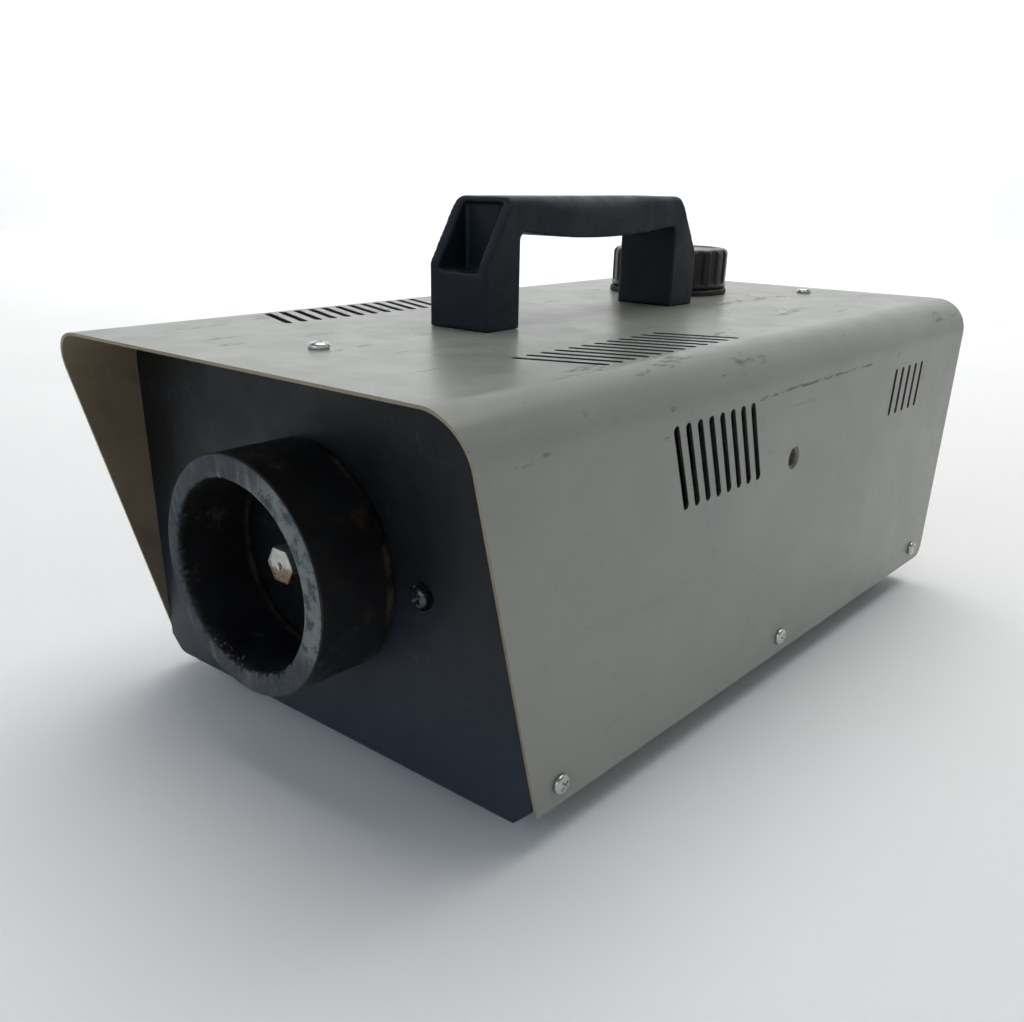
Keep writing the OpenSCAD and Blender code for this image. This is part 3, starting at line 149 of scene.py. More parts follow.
class Graph:
    """Adds nodes to one new material. Textures use the piece's own coordinates, in metres."""

    def __init__(self, name):
        self.material = bpy.data.materials.new(name)
        self.material.use_nodes = True
        self.tree = self.material.node_tree
        self.shader = self.tree.nodes["Principled BSDF"]
        self.place = self.node("ShaderNodeTexCoord").outputs["Object"]

    def node(self, kind, **settings):
        made = self.tree.nodes.new(kind)
        for name, value in settings.items():
            setattr(made, name, value)
        return made

    def put(self, socket, value):
        if isinstance(value, bpy.types.NodeSocket):
            self.tree.links.new(value, socket)
        elif isinstance(value, tuple) and len(value) == 3 and len(socket.default_value) == 4:
            socket.default_value = (*value, 1)
        else:
            socket.default_value = value

    def set(self, name, value):
        self.put(self.shader.inputs[name], value)

    def math(self, operation, a, b=0.0, clamp=False):
        made = self.node("ShaderNodeMath", operation=operation, use_clamp=clamp)
        self.put(made.inputs[0], a)
        self.put(made.inputs[1], b)
        return made.outputs[0]

    def vector(self, operation, a, b=(0.0, 0.0, 0.0), out=0):
        made = self.node("ShaderNodeVectorMath", operation=operation)
        self.put(made.inputs[0], a)
        self.put(made.inputs[1], b)
        return made.outputs[out]

    def ramp(self, value, low, high, out_low=0.0, out_high=1.0):
        made = self.node("ShaderNodeMapRange", interpolation_type="SMOOTHSTEP")
        for i, part in enumerate((value, low, high, out_low, out_high)):
            self.put(made.inputs[i], part)
        return made.outputs[0]

    def mix(self, share, a, b):
        made = self.node("ShaderNodeMix", data_type="RGBA")
        self.put(made.inputs[0], share)
        self.put(made.inputs[6], a)
        self.put(made.inputs[7], b)
        return made.outputs[2]

    def noise(self, scale, detail=4, roughness=0.55, stretch=None, turn=(0, 0, 0), offset=0.0):
        made = self.node("ShaderNodeTexNoise")
        place = self.place
        if stretch:
            mapping = self.node("ShaderNodeMapping")
            self.put(mapping.inputs["Vector"], place)
            self.put(mapping.inputs["Rotation"], tuple(radians(a) for a in turn))
            self.put(mapping.inputs["Scale"], stretch)
            place = mapping.outputs[0]
        if offset:
            place = self.vector("ADD", place, (offset, offset * 0.7, -offset))
        self.put(made.inputs["Vector"], place)
        self.put(made.inputs["Scale"], scale)
        self.put(made.inputs["Detail"], detail)
        self.put(made.inputs["Roughness"], roughness)
        return made.outputs["Fac"]

    def cells(self, scale):
        made = self.node("ShaderNodeTexVoronoi")
        self.put(made.inputs["Vector"], self.place)
        self.put(made.inputs["Scale"], scale)
        return made.outputs["Distance"]

    def bump(self, height, strength, distance, before=None):
        made = self.node("ShaderNodeBump")
        self.put(made.inputs["Strength"], strength)
        self.put(made.inputs["Distance"], distance)
        self.put(made.inputs["Height"], height)
        if before is not None:
            self.put(made.inputs["Normal"], before)
        return made.outputs[0]

    def edges(self, radius, low=0.02, high=0.25):
        """1 on the rounded edges of the piece and 0 on its flats."""
        bevel = self.node("ShaderNodeBevel", samples=6)
        self.put(bevel.inputs["Radius"], radius)
        flat = self.node("ShaderNodeNewGeometry").outputs["Normal"]
        same = self.vector("DOT_PRODUCT", bevel.outputs[0], flat, out=1)
        return self.ramp(self.math("SUBTRACT", 1.0, same), low, high)

    def axis(self, name):
        parts = self.node("ShaderNodeSeparateXYZ")
        self.put(parts.inputs[0], self.place)
        return parts.outputs[name]

    def facing(self, name):
        parts = self.node("ShaderNodeSeparateXYZ")
        self.put(parts.inputs[0], self.node("ShaderNodeNewGeometry").outputs["Normal"])
        return parts.outputs[name]

    def scratches(self, fine, seed=0.0, low=0.64, high=0.7):
        """Thin straight marks in two directions."""
        first = self.noise(fine, 2, 0.4, (1.0, 0.03, 0.35), (12, 20, -28), seed)
        second = self.noise(fine * 0.8, 2, 0.4, (0.04, 1.0, 0.5), (-25, 8, 31), seed + 3)
        both = self.math("MAXIMUM", first, second)
        patch = self.ramp(self.noise(22, 3, 0.6, offset=seed + 7), 0.5, 0.66)
        return self.math("MULTIPLY", self.ramp(both, low, high), patch)

    def stroke(self, a, b, width, place=None):
        """1 along the straight mark from a to b, given in millimetres, fading over its width."""
        a, b = Vector(a) * MM, Vector(b) * MM
        along = b - a
        from_a = self.vector("SUBTRACT", place or self.place, tuple(a))
        dot = self.vector("DOT_PRODUCT", from_a, tuple(along), out=1)
        share = self.math("MULTIPLY", dot, 1 / along.length_squared, True)
        nearest = self.node("ShaderNodeVectorMath", operation="SCALE")
        self.put(nearest.inputs[0], tuple(along))
        self.put(nearest.inputs["Scale"], share)
        gap = self.vector("DISTANCE", from_a, nearest.outputs[0], out=1)
        return self.ramp(gap, width * MM * 0.35, width * MM, 1.0, 0.0)


def plain(
    name, colour, roughness, metallic=0.0, variation=0.12, grain=700, depth=0.1,
    wear=0.0, worn=(0.5, 0.5, 0.5), dust=0.15, marks=0.1, settings=None,
):
    """A worked finish: mottled colour, fine grain, handling marks, dust and rubbed edges."""
    g = Graph(name)
    dark = tuple(c * (1 - variation) for c in colour)
    light = tuple(min(1, c * (1 + variation)) for c in colour)
    tone = g.mix(g.ramp(g.noise(38, 5, 0.6), 0.35, 0.65), dark, light)
    speck = g.ramp(g.noise(1400, 2), 0.35, 0.65, 0.0, variation * 0.6)
    tone = g.mix(speck, tone, light)
    rough = g.ramp(g.noise(90, 5), 0.3, 0.7, roughness * 0.82, min(1, roughness * 1.2))
    scratch = g.scratches(520, len(name) * 0.37)
    scratched = tuple(min(1, c * 2.2 + 0.03) for c in colour)
    tone = g.mix(g.math("MULTIPLY", scratch, marks), tone, scratched)
    if dust:
        up = g.ramp(g.facing("Z"), 0.2, 1.0)
        fluff = g.ramp(g.noise(160, 6, 0.7), 0.45, 0.75)
        settled = g.math("MULTIPLY", g.math("MULTIPLY", up, fluff), dust)
        tone = g.mix(settled, tone, (0.42, 0.39, 0.34))
    if wear:
        rub = g.math("MULTIPLY", g.edges(0.0009), g.ramp(g.noise(140, 5, 0.7), 0.42, 0.58))
        tone = g.mix(g.math("MULTIPLY", rub, wear), tone, worn)
    g.set("Base Color", tone)
    g.set("Metallic", metallic)
    g.set("Roughness", rough)
    fine = g.bump(g.noise(grain, 3, 0.6), depth, 0.0002)
    g.set("Normal", g.bump(scratch, 0.15, 0.0001, fine))
    for key, value in (settings or {}).items():
        g.set(key, value)
    return g.material


def silver_paint():
    """Silver-grey case paint with rub marks along the right bend and a few scuffs."""
    g = Graph("silver_paint")
    tone = g.mix(g.ramp(g.noise(9, 4), 0.35, 0.65), (0.224, 0.233, 0.207), (0.248, 0.257, 0.229))
    tone = g.mix(g.ramp(g.noise(2600, 2), 0.45, 0.75, 0.0, 0.12), tone, (0.5, 0.5, 0.48))
    grime = g.math("MULTIPLY", g.ramp(g.noise(34, 6, 0.72, offset=4), 0.52, 0.8), 0.28)
    tone = g.mix(grime, tone, (0.2, 0.21, 0.2))
    scratch = g.scratches(420, 1.3, 0.66, 0.71)
    tone = g.mix(g.math("MULTIPLY", scratch, 0.3), tone, (0.16, 0.17, 0.17))
    # Scuffs: the straight marks wander a little and are broken up, so that none is a clean line
    shake = g.node("ShaderNodeTexNoise")
    g.put(shake.inputs["Vector"], g.place)
    g.put(shake.inputs["Scale"], 130)
    g.put(shake.inputs["Detail"], 3)
    push = g.node("ShaderNodeVectorMath", operation="SCALE")
    g.put(push.inputs[0], g.vector("SUBTRACT", shake.outputs["Color"], (0.5, 0.5, 0.5)))
    push.inputs["Scale"].default_value = 0.002
    bent = g.vector("ADD", g.place, push.outputs[0])
    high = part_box("cover")[1]
    side, top = high.x / MM, high.z / MM
    bend_line = g.stroke((side, -35, top - 21), (side, 80, top - 20), 0.9, bent)
    lid_scratch = g.stroke((15, 140, top), (45, 125, top), 1.5, bent)
    marks = g.math("MAXIMUM", bend_line, lid_scratch)
    # Short chance scuffs, more of them along the bends, where cases knock together
    chance = g.ramp(g.noise(60, 5, 0.7, (1.0, 0.22, 1.0), (0, 0, 9), 6), 0.6, 0.66)
    across = g.ramp(g.noise(70, 5, 0.7, (0.25, 1.0, 1.0), (0, 0, -14), 21), 0.64, 0.7)
    dots = g.ramp(g.cells(150), 0.03, 0.09, 1.0, 0.0)
    dots = g.math("MULTIPLY", dots, g.ramp(g.noise(24, 3), 0.54, 0.64))
    upper = g.ramp(g.axis("Z"), 0.115, 0.15, 0.12, 0.85)
    for more in (chance, across, dots):
        marks = g.math("MAXIMUM", marks, g.math("MULTIPLY", more, upper))
    broken = g.ramp(g.noise(330, 5, 0.7, (1.0, 0.3, 1.0), offset=2), 0.44, 0.58)
    marks = g.math("MULTIPLY", marks, broken)
    tone = g.mix(g.math("MULTIPLY", marks, 0.75), tone, (0.035, 0.045, 0.055))
    smudge = g.stroke((side, -65, 115), (side, -65, 95), 15, bent)
    blot = g.math("MULTIPLY", smudge, g.ramp(g.noise(160, 5, 0.7, offset=9), 0.42, 0.72))
    tone = g.mix(g.math("MULTIPLY", blot, 0.5), tone, (0.17, 0.2, 0.22))
    rub = g.math("MULTIPLY", g.edges(0.0008), g.ramp(g.noise(120, 5, 0.7), 0.45, 0.62))
    tone = g.mix(g.math("MULTIPLY", rub, 0.7), tone, (0.2, 0.19, 0.17))
    g.set("Base Color", tone)
    g.set("Metallic", 0.08)
    rough = g.ramp(g.noise(55, 5), 0.3, 0.7, 0.3, 0.38)
    g.set("Roughness", g.math("ADD", rough, g.math("MULTIPLY", marks, 0.2)))
    g.set("Coat Weight", 0.04)
    g.set("Coat Roughness", 0.25)
    peel = g.bump(g.noise(650, 2), 0.06, 0.0002)
    wave = g.bump(g.noise(14, 2), 0.25, 0.0006, peel)
    g.set("Normal", g.bump(g.math("ADD", scratch, marks), 0.12, 0.0001, wave))
    return g.material


def black_paint():
    """Black satin paint of the folded tray and the rear panel."""
    g = Graph("black_paint")
    deep, pale = (0.003, 0.0034, 0.004), (0.005, 0.0056, 0.0066)
    tone = g.mix(g.ramp(g.noise(16, 5), 0.35, 0.65), deep, pale)
    scratch = g.scratches(460, 2.1)
    tone = g.mix(g.math("MULTIPLY", scratch, 0.16), tone, (0.14, 0.14, 0.14))
    dots = g.ramp(g.cells(240), 0.0, 0.06, 1.0, 0.0)
    dots = g.math("MULTIPLY", dots, g.ramp(g.noise(30, 3), 0.5, 0.62))
    tone = g.mix(g.math("MULTIPLY", dots, 0.35), tone, (0.2, 0.19, 0.17))
    rub = g.math("MULTIPLY", g.edges(0.0009), g.ramp(g.noise(130, 5, 0.7), 0.46, 0.6))
    tone = g.mix(g.math("MULTIPLY", rub, 0.5), tone, (0.12, 0.115, 0.11))
    # Painted reflection: a pale bluish tint on the lower half of the front, kept off the tube,
    # stands for the light the panel catches from the floor and the front
    lower_reflection = g.ramp(g.axis("Z"), 0.02, 0.12, 0.9, 0.0)
    tint_share = g.math("MULTIPLY", lower_reflection, g.ramp(g.axis("Y"), -0.17, -0.1, 1.0, 0.0))
    low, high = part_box("nozzle_shroud")
    across = g.vector("MULTIPLY", g.place, (1, 0, 1))
    from_axis = g.vector("DISTANCE", across, (0, 0, (low.z + high.z) / 2), out=1)
    tint_share = g.math("MULTIPLY", tint_share, g.ramp(from_axis, 0.046, 0.05))
    # Mixes in the bluish painted reflection
    tone = g.mix(tint_share, tone, (0.017, 0.027, 0.04))
    g.set("Base Color", tone)
    g.set("Specular IOR Level", 0.32)
    g.set("Roughness", g.ramp(g.noise(70, 5), 0.3, 0.7, 0.38, 0.52))
    g.set("Normal", g.bump(g.noise(800, 2), 0.08, 0.0002))
    return g.material


def shroud_plastic():
    """Black moulded tube, dusty and rubbed, with a dull sawn rim that carries a painted highlight
    on its right.
    """
    g = Graph("shroud_plastic")
    deep, pale = (0.005, 0.005, 0.0055), (0.012, 0.012, 0.0125)
    tone = g.mix(g.ramp(g.noise(30, 6, 0.65), 0.35, 0.7), deep, pale)
    cloud = g.math("MULTIPLY", g.ramp(g.noise(55, 8, 0.8, offset=5), 0.55, 0.68), 0.38)
    tone = g.mix(cloud, tone, (0.13, 0.125, 0.115))
    rust = g.math("MULTIPLY", g.ramp(g.noise(42, 7, 0.7, offset=11), 0.6, 0.74), 0.28)
    tone = g.mix(rust, tone, (0.13, 0.09, 0.05))
    rim = g.ramp(g.facing("Y"), -0.97, -0.75, 1.0, 0.0)
    deep, pale = (0.022, 0.027, 0.033), (0.046, 0.053, 0.06)
    sawn = g.mix(g.ramp(g.noise(420, 6, 0.7), 0.3, 0.7), deep, pale)
    streak = g.ramp(g.noise(120, 6, 0.7, (1.0, 1.0, 0.25)), 0.52, 0.7)
    sawn = g.mix(g.math("MULTIPLY", streak, 0.5), sawn, (0.19, 0.2, 0.195))
    tone = g.mix(rim, tone, sawn)
    rub = g.math("MULTIPLY", g.edges(0.0012), g.ramp(g.noise(260, 6, 0.75), 0.42, 0.6))
    tone = g.mix(g.math("MULTIPLY", rub, 0.65), tone, (0.2, 0.195, 0.18))
    low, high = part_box("nozzle_shroud")
    # Lighter patch on the right of the rim: handling rub with a painted highlight
    rub_and_highlight = g.stroke((26, low.y / MM, 120), (44, low.y / MM, 80), 20)
    rub_and_highlight = g.math("MULTIPLY", rub_and_highlight, g.ramp(g.noise(210, 6, 0.75, offset=8), 0.4, 0.56))
    rub_and_highlight = g.math("MULTIPLY", rub_and_highlight, rim)
    tone = g.mix(g.math("MULTIPLY", rub_and_highlight, 0.7), tone, (0.21, 0.225, 0.215))
    # Fog fluid dries brown where the tube meets the panel
    joint = g.ramp(g.axis("Y"), high.y - 0.005, high.y - 0.001)
    joint = g.math("MULTIPLY", joint, g.ramp(g.noise(70, 6, 0.7, offset=13), 0.42, 0.62))
    tone = g.mix(g.math("MULTIPLY", joint, 0.6), tone, (0.17, 0.135, 0.095))
    g.set("Base Color", tone)
    g.set("Specular IOR Level", 0.36)
    rough = g.ramp(g.noise(80, 6), 0.3, 0.7, 0.38, 0.58)
    g.set("Roughness", g.math("ADD", rough, g.math("MULTIPLY", rim, 0.12)))
    grain = g.bump(g.noise(380, 6, 0.7), 0.25, 0.0004)
    g.set("Normal", g.bump(g.noise(60, 4), 0.15, 0.0008, grain))
    return g.material


def nozzle_metal():
    """Plated hexagon, tarnished brown where the hot vapour condenses below it."""
    g = Graph("nozzle_metal")
    low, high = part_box("nozzle")
    middle = (low.z + high.z) / 2
    height = g.math("DIVIDE", g.math("SUBTRACT", g.axis("Z"), middle), 0.008)
    stain = g.math("ADD", height, g.ramp(g.noise(260, 5, 0.7), 0.2, 0.8, -0.7, 0.7))
    stain = g.ramp(stain, -0.35, 0.25, 1.0, 0.0)
    bright = g.mix(g.ramp(g.noise(500, 4), 0.3, 0.7), (0.5, 0.49, 0.45), (0.66, 0.65, 0.6))
    brown = g.mix(g.ramp(g.noise(700, 5), 0.3, 0.7), (0.16, 0.11, 0.06), (0.3, 0.23, 0.15))
    g.set("Base Color", g.mix(stain, bright, brown))
    g.set("Metallic", 0.85)
    g.set("Roughness", g.ramp(g.noise(300, 5), 0.3, 0.7, 0.3, 0.5))
    g.set("Normal", g.bump(g.noise(900, 4), 0.12, 0.0002))
    return g.material


def hood_inside():
    """Inner face of the hood: the tan at its mouth is painted warm light, and the darker patches
    are fog fluid film.
    """
    g = Graph("hood_inside")
    # The tan colours are painted warm light
    tone = g.mix(g.ramp(g.noise(14, 5), 0.3, 0.7), (0.24, 0.19, 0.125), (0.33, 0.265, 0.18))
    tint_share = g.math("MULTIPLY", g.ramp(g.noise(50, 6, 0.7), 0.5, 0.75), 0.35)
    tone = g.mix(tint_share, tone, (0.05, 0.045, 0.04))
    # Painted warm light: the tan stays only at the mouth of the hood, and further in the face is
    # grey
    tone = g.mix(g.ramp(g.axis("Y"), -0.19, -0.1), tone, (0.2, 0.205, 0.19))
    g.set("Base Color", tone)
    g.set("Metallic", 0.2)
    g.set("Roughness", g.ramp(g.noise(60, 5), 0.3, 0.7, 0.42, 0.6))
    g.set("Normal", g.bump(g.noise(700, 3), 0.1, 0.0002))
    return g.material


def sheet_edge():
    """Cut edge of the sheet, where the paint is thin over bare steel."""
    return plain(
        "sheet_edge", (0.42, 0.41, 0.36), 0.42, 0.4, wear=0.2, worn=(0.4, 0.36, 0.3), dust=0.0,
    )


def clear_plastic():
    """Window of the fluid level: faintly scuffed clear sheet."""
    return plain(
        "clear_plastic", (0.82, 0.86, 0.86), 0.12, variation=0.04, dust=0.05, marks=0.3,
        settings={"Transmission Weight": 0.9, "IOR": 1.49},
    )


def make_materials():
    """One finish for each material slot of the record."""
    return {
        "silver_paint": silver_paint(),
        "black_paint": black_paint(),
        "shroud_plastic": shroud_plastic(),
        "nozzle_metal": nozzle_metal(),
        "clear_plastic": clear_plastic(),
        "handle_plastic": plain(
            "handle_plastic", (0.005, 0.0095, 0.0155), 0.5, variation=0.18, grain=1500, depth=0.16,
            wear=0.35, worn=(0.06, 0.06, 0.06), dust=0.06, marks=0.12,
            settings={"Specular IOR Level": 0.26},
        ),
        "cap_plastic": plain(
            "cap_plastic", (0.008, 0.008, 0.0085), 0.36, variation=0.18, grain=900, depth=0.12,
            wear=0.4, worn=(0.09, 0.085, 0.075), dust=0.12,
            settings={"Specular IOR Level": 0.4},
        ),
        "black_plastic": plain(
            "black_plastic", (0.013, 0.013, 0.014), 0.4, grain=1200,
            wear=0.3, worn=(0.06, 0.06, 0.06),
        ),
        "red_plastic": plain(
            "red_plastic", (0.42, 0.018, 0.015), 0.28, grain=900, depth=0.06,
            wear=0.3, worn=(0.6, 0.2, 0.17),
        ),
        "tank_plastic": plain(
            "tank_plastic", (0.78, 0.78, 0.73), 0.4, variation=0.05, grain=400, dust=0.1,
            settings={"Subsurface Weight": 0.3, "Subsurface Scale": 0.004},
        ),
        "natural_plastic": plain(
            "natural_plastic", (0.7, 0.68, 0.6), 0.42, variation=0.07, grain=500,
        ),
        "zinc_steel": plain(
            "zinc_steel", (0.52, 0.52, 0.5), 0.22, 0.95, 0.2, grain=600, depth=0.14,
            wear=0.5, worn=(0.16, 0.11, 0.07), dust=0.1, marks=0.3,
        ),
        "black_steel": plain(
            "black_steel", (0.07, 0.07, 0.073), 0.22, 0.85, grain=700,
            wear=0.6, worn=(0.3, 0.3, 0.3),
        ),
        "brass": plain(
            "brass", (0.62, 0.46, 0.2), 0.32, 0.95, 0.15, wear=0.3, worn=(0.8, 0.66, 0.36),
        ),
        "cast_aluminium": plain(
            "cast_aluminium", (0.5, 0.5, 0.48), 0.5, 0.85, grain=300, depth=0.35,
        ),
        "rubber": plain(
            "rubber", (0.016, 0.016, 0.016), 0.75, variation=0.2, grain=500, depth=0.2, dust=0.35,
        ),
        "wool": plain("wool", (0.62, 0.58, 0.46), 0.95, variation=0.15, grain=260, depth=0.9),
        "board_green": plain("board_green", (0.03, 0.14, 0.06), 0.3, grain=400),
        "relay_blue": plain("relay_blue", (0.03, 0.07, 0.26), 0.36),
        "copper_core": plain("copper_core", (0.3, 0.2, 0.07), 0.45, 0.3, grain=350, depth=0.3),
        "wire_sleeve": plain("wire_sleeve", (0.09, 0.011, 0.009), 0.4),
        "glass_fuse": plain(
            "glass_fuse", (0.8, 0.82, 0.82), 0.08, variation=0.03, dust=0.0,
            settings={"Transmission Weight": 0.8},
        ),
        "label_foil": plain("label_foil", (0.55, 0.56, 0.55), 0.4, 0.5, 0.08, grain=900, marks=0.4),
    }


# ---------------------------------------------------------------- mesh helpers


def cad_mesh(node):
    """The node's mesh with its seams closed and its flat faces joined."""
    bm = bmesh.new()
    bm.from_mesh(frame["nodes"][node].data)
    bmesh.ops.remove_doubles(bm, verts=bm.verts, dist=2e-6)
    bmesh.ops.dissolve_limit(bm, angle_limit=radians(0.25), verts=bm.verts, edges=bm.edges)
    return bm


def islands(node):
    """Lowest and highest corner of each separate solid of a node, as a list."""
    bm = bmesh.new()
    bm.from_mesh(frame["nodes"][node].data)
    bmesh.ops.remove_doubles(bm, verts=bm.verts, dist=2e-6)
    seen, found = set(), []
    for first in bm.verts:
        if first in seen:
            continue
        group, stack = [], [first]
        seen.add(first)
        while stack:
            vert = stack.pop()
            group.append(vert.co.copy())
            for edge in vert.link_edges:
                other = edge.other_vert(vert)
                if other not in seen:
                    seen.add(other)
                    stack.append(other)
        found.append(tuple(
            Vector(pick(v[i] for v in group) for i in range(3)) for pick in (min, max)
        ))
    bm.free()
    return found


def piece(name, bm, materials, nodes=(), body="machine"):
    """Turns a bmesh into a shown object that rides on its body and stands for CAD nodes."""
    mesh = bpy.data.meshes.new(name)
    bm.to_mesh(mesh)
    bm.free()
    for material in materials:
        mesh.materials.append(material)
    mesh.shade_smooth()
    obj = bpy.data.objects.new(name, mesh)
    bpy.context.scene.collection.objects.link(obj)
    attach(obj, body)
    if nodes:
        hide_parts(*nodes)
    return obj


def soften(obj, width, segments=2, angle=34):
    """Rounds the sharp edges by width millimetres and evens out the shading."""
    bevel = obj.modifiers.new("edges", "BEVEL")
    bevel.width = width * MM
    bevel.segments = segments
    bevel.limit_method = "ANGLE"
    bevel.angle_limit = radians(angle)
    bevel.miter_outer = "MITER_ARC"
    shading = obj.modifiers.new("shading", "WEIGHTED_NORMAL")
    shading.keep_sharp = True
    return obj


def baked(bm, *steps):
    """Applies modifiers, each given as (kind, settings), to a bmesh and returns the result."""
    mesh = bpy.data.meshes.new("work")
    bm.to_mesh(mesh)
    bm.free()
    obj = bpy.data.objects.new("work", mesh)
    bpy.context.scene.collection.objects.link(obj)
    for kind, settings in steps:
        modifier = obj.modifiers.new(kind, kind)
        for key, value in settings.items():
            setattr(modifier, key, value)
    result = obj.evaluated_get(bpy.context.evaluated_depsgraph_get()).to_mesh()
    out = bmesh.new()
    out.from_mesh(result)
    bpy.data.objects.remove(obj)
    return out


def lathe(rings, around, axis_z=True):
    """Joins rings of points; each ring is a function from angle to (radius, height)."""
    bm = bmesh.new()
    grid = []
    for ring in rings:
        row = []
        for i in range(around):
            a = 2 * pi * i / around
            r, h = ring(a)
            point = (r * cos(a), r * sin(a), h) if axis_z else (r * cos(a), h, r * sin(a))
            row.append(bm.verts.new(point))
        grid.append(row)
    for first, second in zip(grid, grid[1:]):
        for i in range(around):
            j = (i + 1) % around
            bm.faces.new((first[i], first[j], second[j], second[i]))
    return bm, grid


def close_loop(bm, grid):
    """Joins the last ring of a lathed grid to its first."""
    first, last = grid[0], grid[-1]
    for i in range(len(first)):
        j = (i + 1) % len(first)
        bm.faces.new((last[i], last[j], first[j], first[i]))


def fan(bm, row, point):
    """Closes a ring with triangles to one point."""
    tip = bm.verts.new(point)
    for i in range(len(row)):
        bm.faces.new((row[i], row[(i + 1) % len(row)], tip))


def smoothstep(low, high, x):
    """0 at low, 1 at high, with an easy start and end."""
    t = max(0.0, min(1.0, (x - low) / (high - low)))
    return t * t * (3 - 2 * t)


# ---------------------------------------------------------------- the case


def make_hood(mats):
    """The cover sheet: painted outside, tinted inside with painted warm light, with eased cut edges
    and slot walls darkened as painted shade.
    """
    bm = cad_mesh("cover")
    low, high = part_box("cover")
    nuts_low, nuts_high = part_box("yoke_nuts")
    yoke = (nuts_low + nuts_high) / 2
    foot_y = min(v.co.y for v in bm.verts if v.co.z < low.z + MM)

    def is_rim(c):
        """On the outer rim of the sheet or in a yoke hole, and so not in a slot."""
        front = low.y + (foot_y - low.y) * (high.z - c.z) / (high.z - low.z)
        at_rim = min(abs(c.y - front), abs(c.y - high.y), abs(c.z - low.z)) < 0.8 * MM
        return at_rim or hypot(c.y - yoke.y, c.z - yoke.z) < 7 * MM

    for face in bm.faces:
        c = face.calc_center_median()
        qx, qz = abs(c.x) - (high.x - BEND_R), c.z - (high.z - BEND_R)
        out = hypot(qx, qz) if qx > 0 and qz > 0 else max(qx, qz)
        depth = BEND_R - out
        if depth > SHEET_T * 0.9:
            face.material_index = 1
        elif depth > SHEET_T * 0.1:
            face.material_index = 2 if is_rim(c) else 3
    # Painted shade: the slot walls are near black to stand for the shade inside the slots
    slot_edge = plain("slot_edge", (0.03, 0.031, 0.03), 0.5, variation=0.4, dust=0.1)
    finishes = [mats["silver_paint"], hood_inside(), sheet_edge(), slot_edge]
    hood = piece("hood", bm, finishes, ["cover"])
    return soften(hood, 0.28, 2, 40)


def make_from_cad(name, node, mats, slot, width, segments=2):
    """A shown copy of a CAD node with rounded edges."""
    return soften(piece(name, cad_mesh(node), [mats[slot]], [node]), width, segments)


def thinned(a):
    """How far the shroud's bore lies outside its circle: the wall is thinner on the left."""
    return 2.4 * MM * smoothstep(-0.3, 0.9, cos(a - radians(185)))


def make_shroud(mats):
    """Thick tube round the nozzle with a sawn front rim whose inner edge is chipped."""
    low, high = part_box("nozzle_shroud")
    centre = Vector(((low.x + high.x) / 2, 0, (low.z + high.z) / 2))
    outer, inner = (high.x - low.x) / 2, SHROUD_BORE_R
    front, back = low.y, high.y

    def chip(a):
        place = Vector((cos(a) * 7, sin(a) * 7, 0))
        rough = noise.noise(place * 3) + 0.6 * noise.noise(place * 9)
        rough += 0.3 * noise.noise(place * 25)
        ragged = smoothstep(-0.2, 0.5, cos(a - radians(235)))
        ragged += 0.35 * smoothstep(0.3, 0.9, cos(a - radians(135)))
        return (max(0.0, rough + 0.2) * ragged * 1.7 + max(0.0, rough) * 0.15) * MM

    def wobble(a, h):
        return 0.12 * MM * noise.noise(Vector((cos(a) * 3, sin(a) * 3, h * 90)))

    def ring(r, y, chipped=0.0, back_off=0.0, bore=1.0):
        return lambda a: (
            r + chip(a) * chipped + thinned(a) * bore + wobble(a, y), y + chip(a) * back_off,
        )

    rings = [ring(inner, back)]
    for i in range(1, 12):
        rings.append(ring(inner, back + (front + 3.2 * MM - back) * i / 11))
    rings += [
        ring(inner, front + 1.9 * MM, 0.25), ring(inner, front + 1.1 * MM, 0.7),
        ring(inner + 0.1 * MM, front + 0.55 * MM, 1.0),
        ring(inner + 0.45 * MM, front + 0.18 * MM, 1.15, 0.25),
        ring(inner + 1.0 * MM, front + 0.02 * MM, 0.9, 0.12),
        ring(inner + 3.0 * MM, front, 0.35, bore=0.8),
    ]
    for i in range(1, 6):
        r = inner + (outer - 1.2 * MM - inner) * (0.5 + 0.5 * i / 5)
        rings.append(ring(r, front + 0.02 * MM, bore=0.6 * (1 - i / 5)))
    for i in range(1, 7):
        a = pi / 2 * i / 6
        r, y = outer - 1.1 * MM + 1.0 * MM * sin(a), front + 1.1 * MM - 1.08 * MM * cos(a)
        rings.append(ring(r, y, bore=0))
    for i in range(1, 13):
        y = front + 1.1 * MM + (back - front - 1.1 * MM) * i / 12
        rings.append(ring(outer - 0.1 * MM, y, bore=0))
    bm, grid = lathe(rings, 540, axis_z=False)
    close_loop(bm, grid)
    bmesh.ops.translate(bm, verts=bm.verts, vec=centre)
    bmesh.ops.recalc_face_normals(bm, faces=bm.faces)
    return piece("shroud_tube", bm, [mats["shroud_plastic"]], ["nozzle_shroud"])


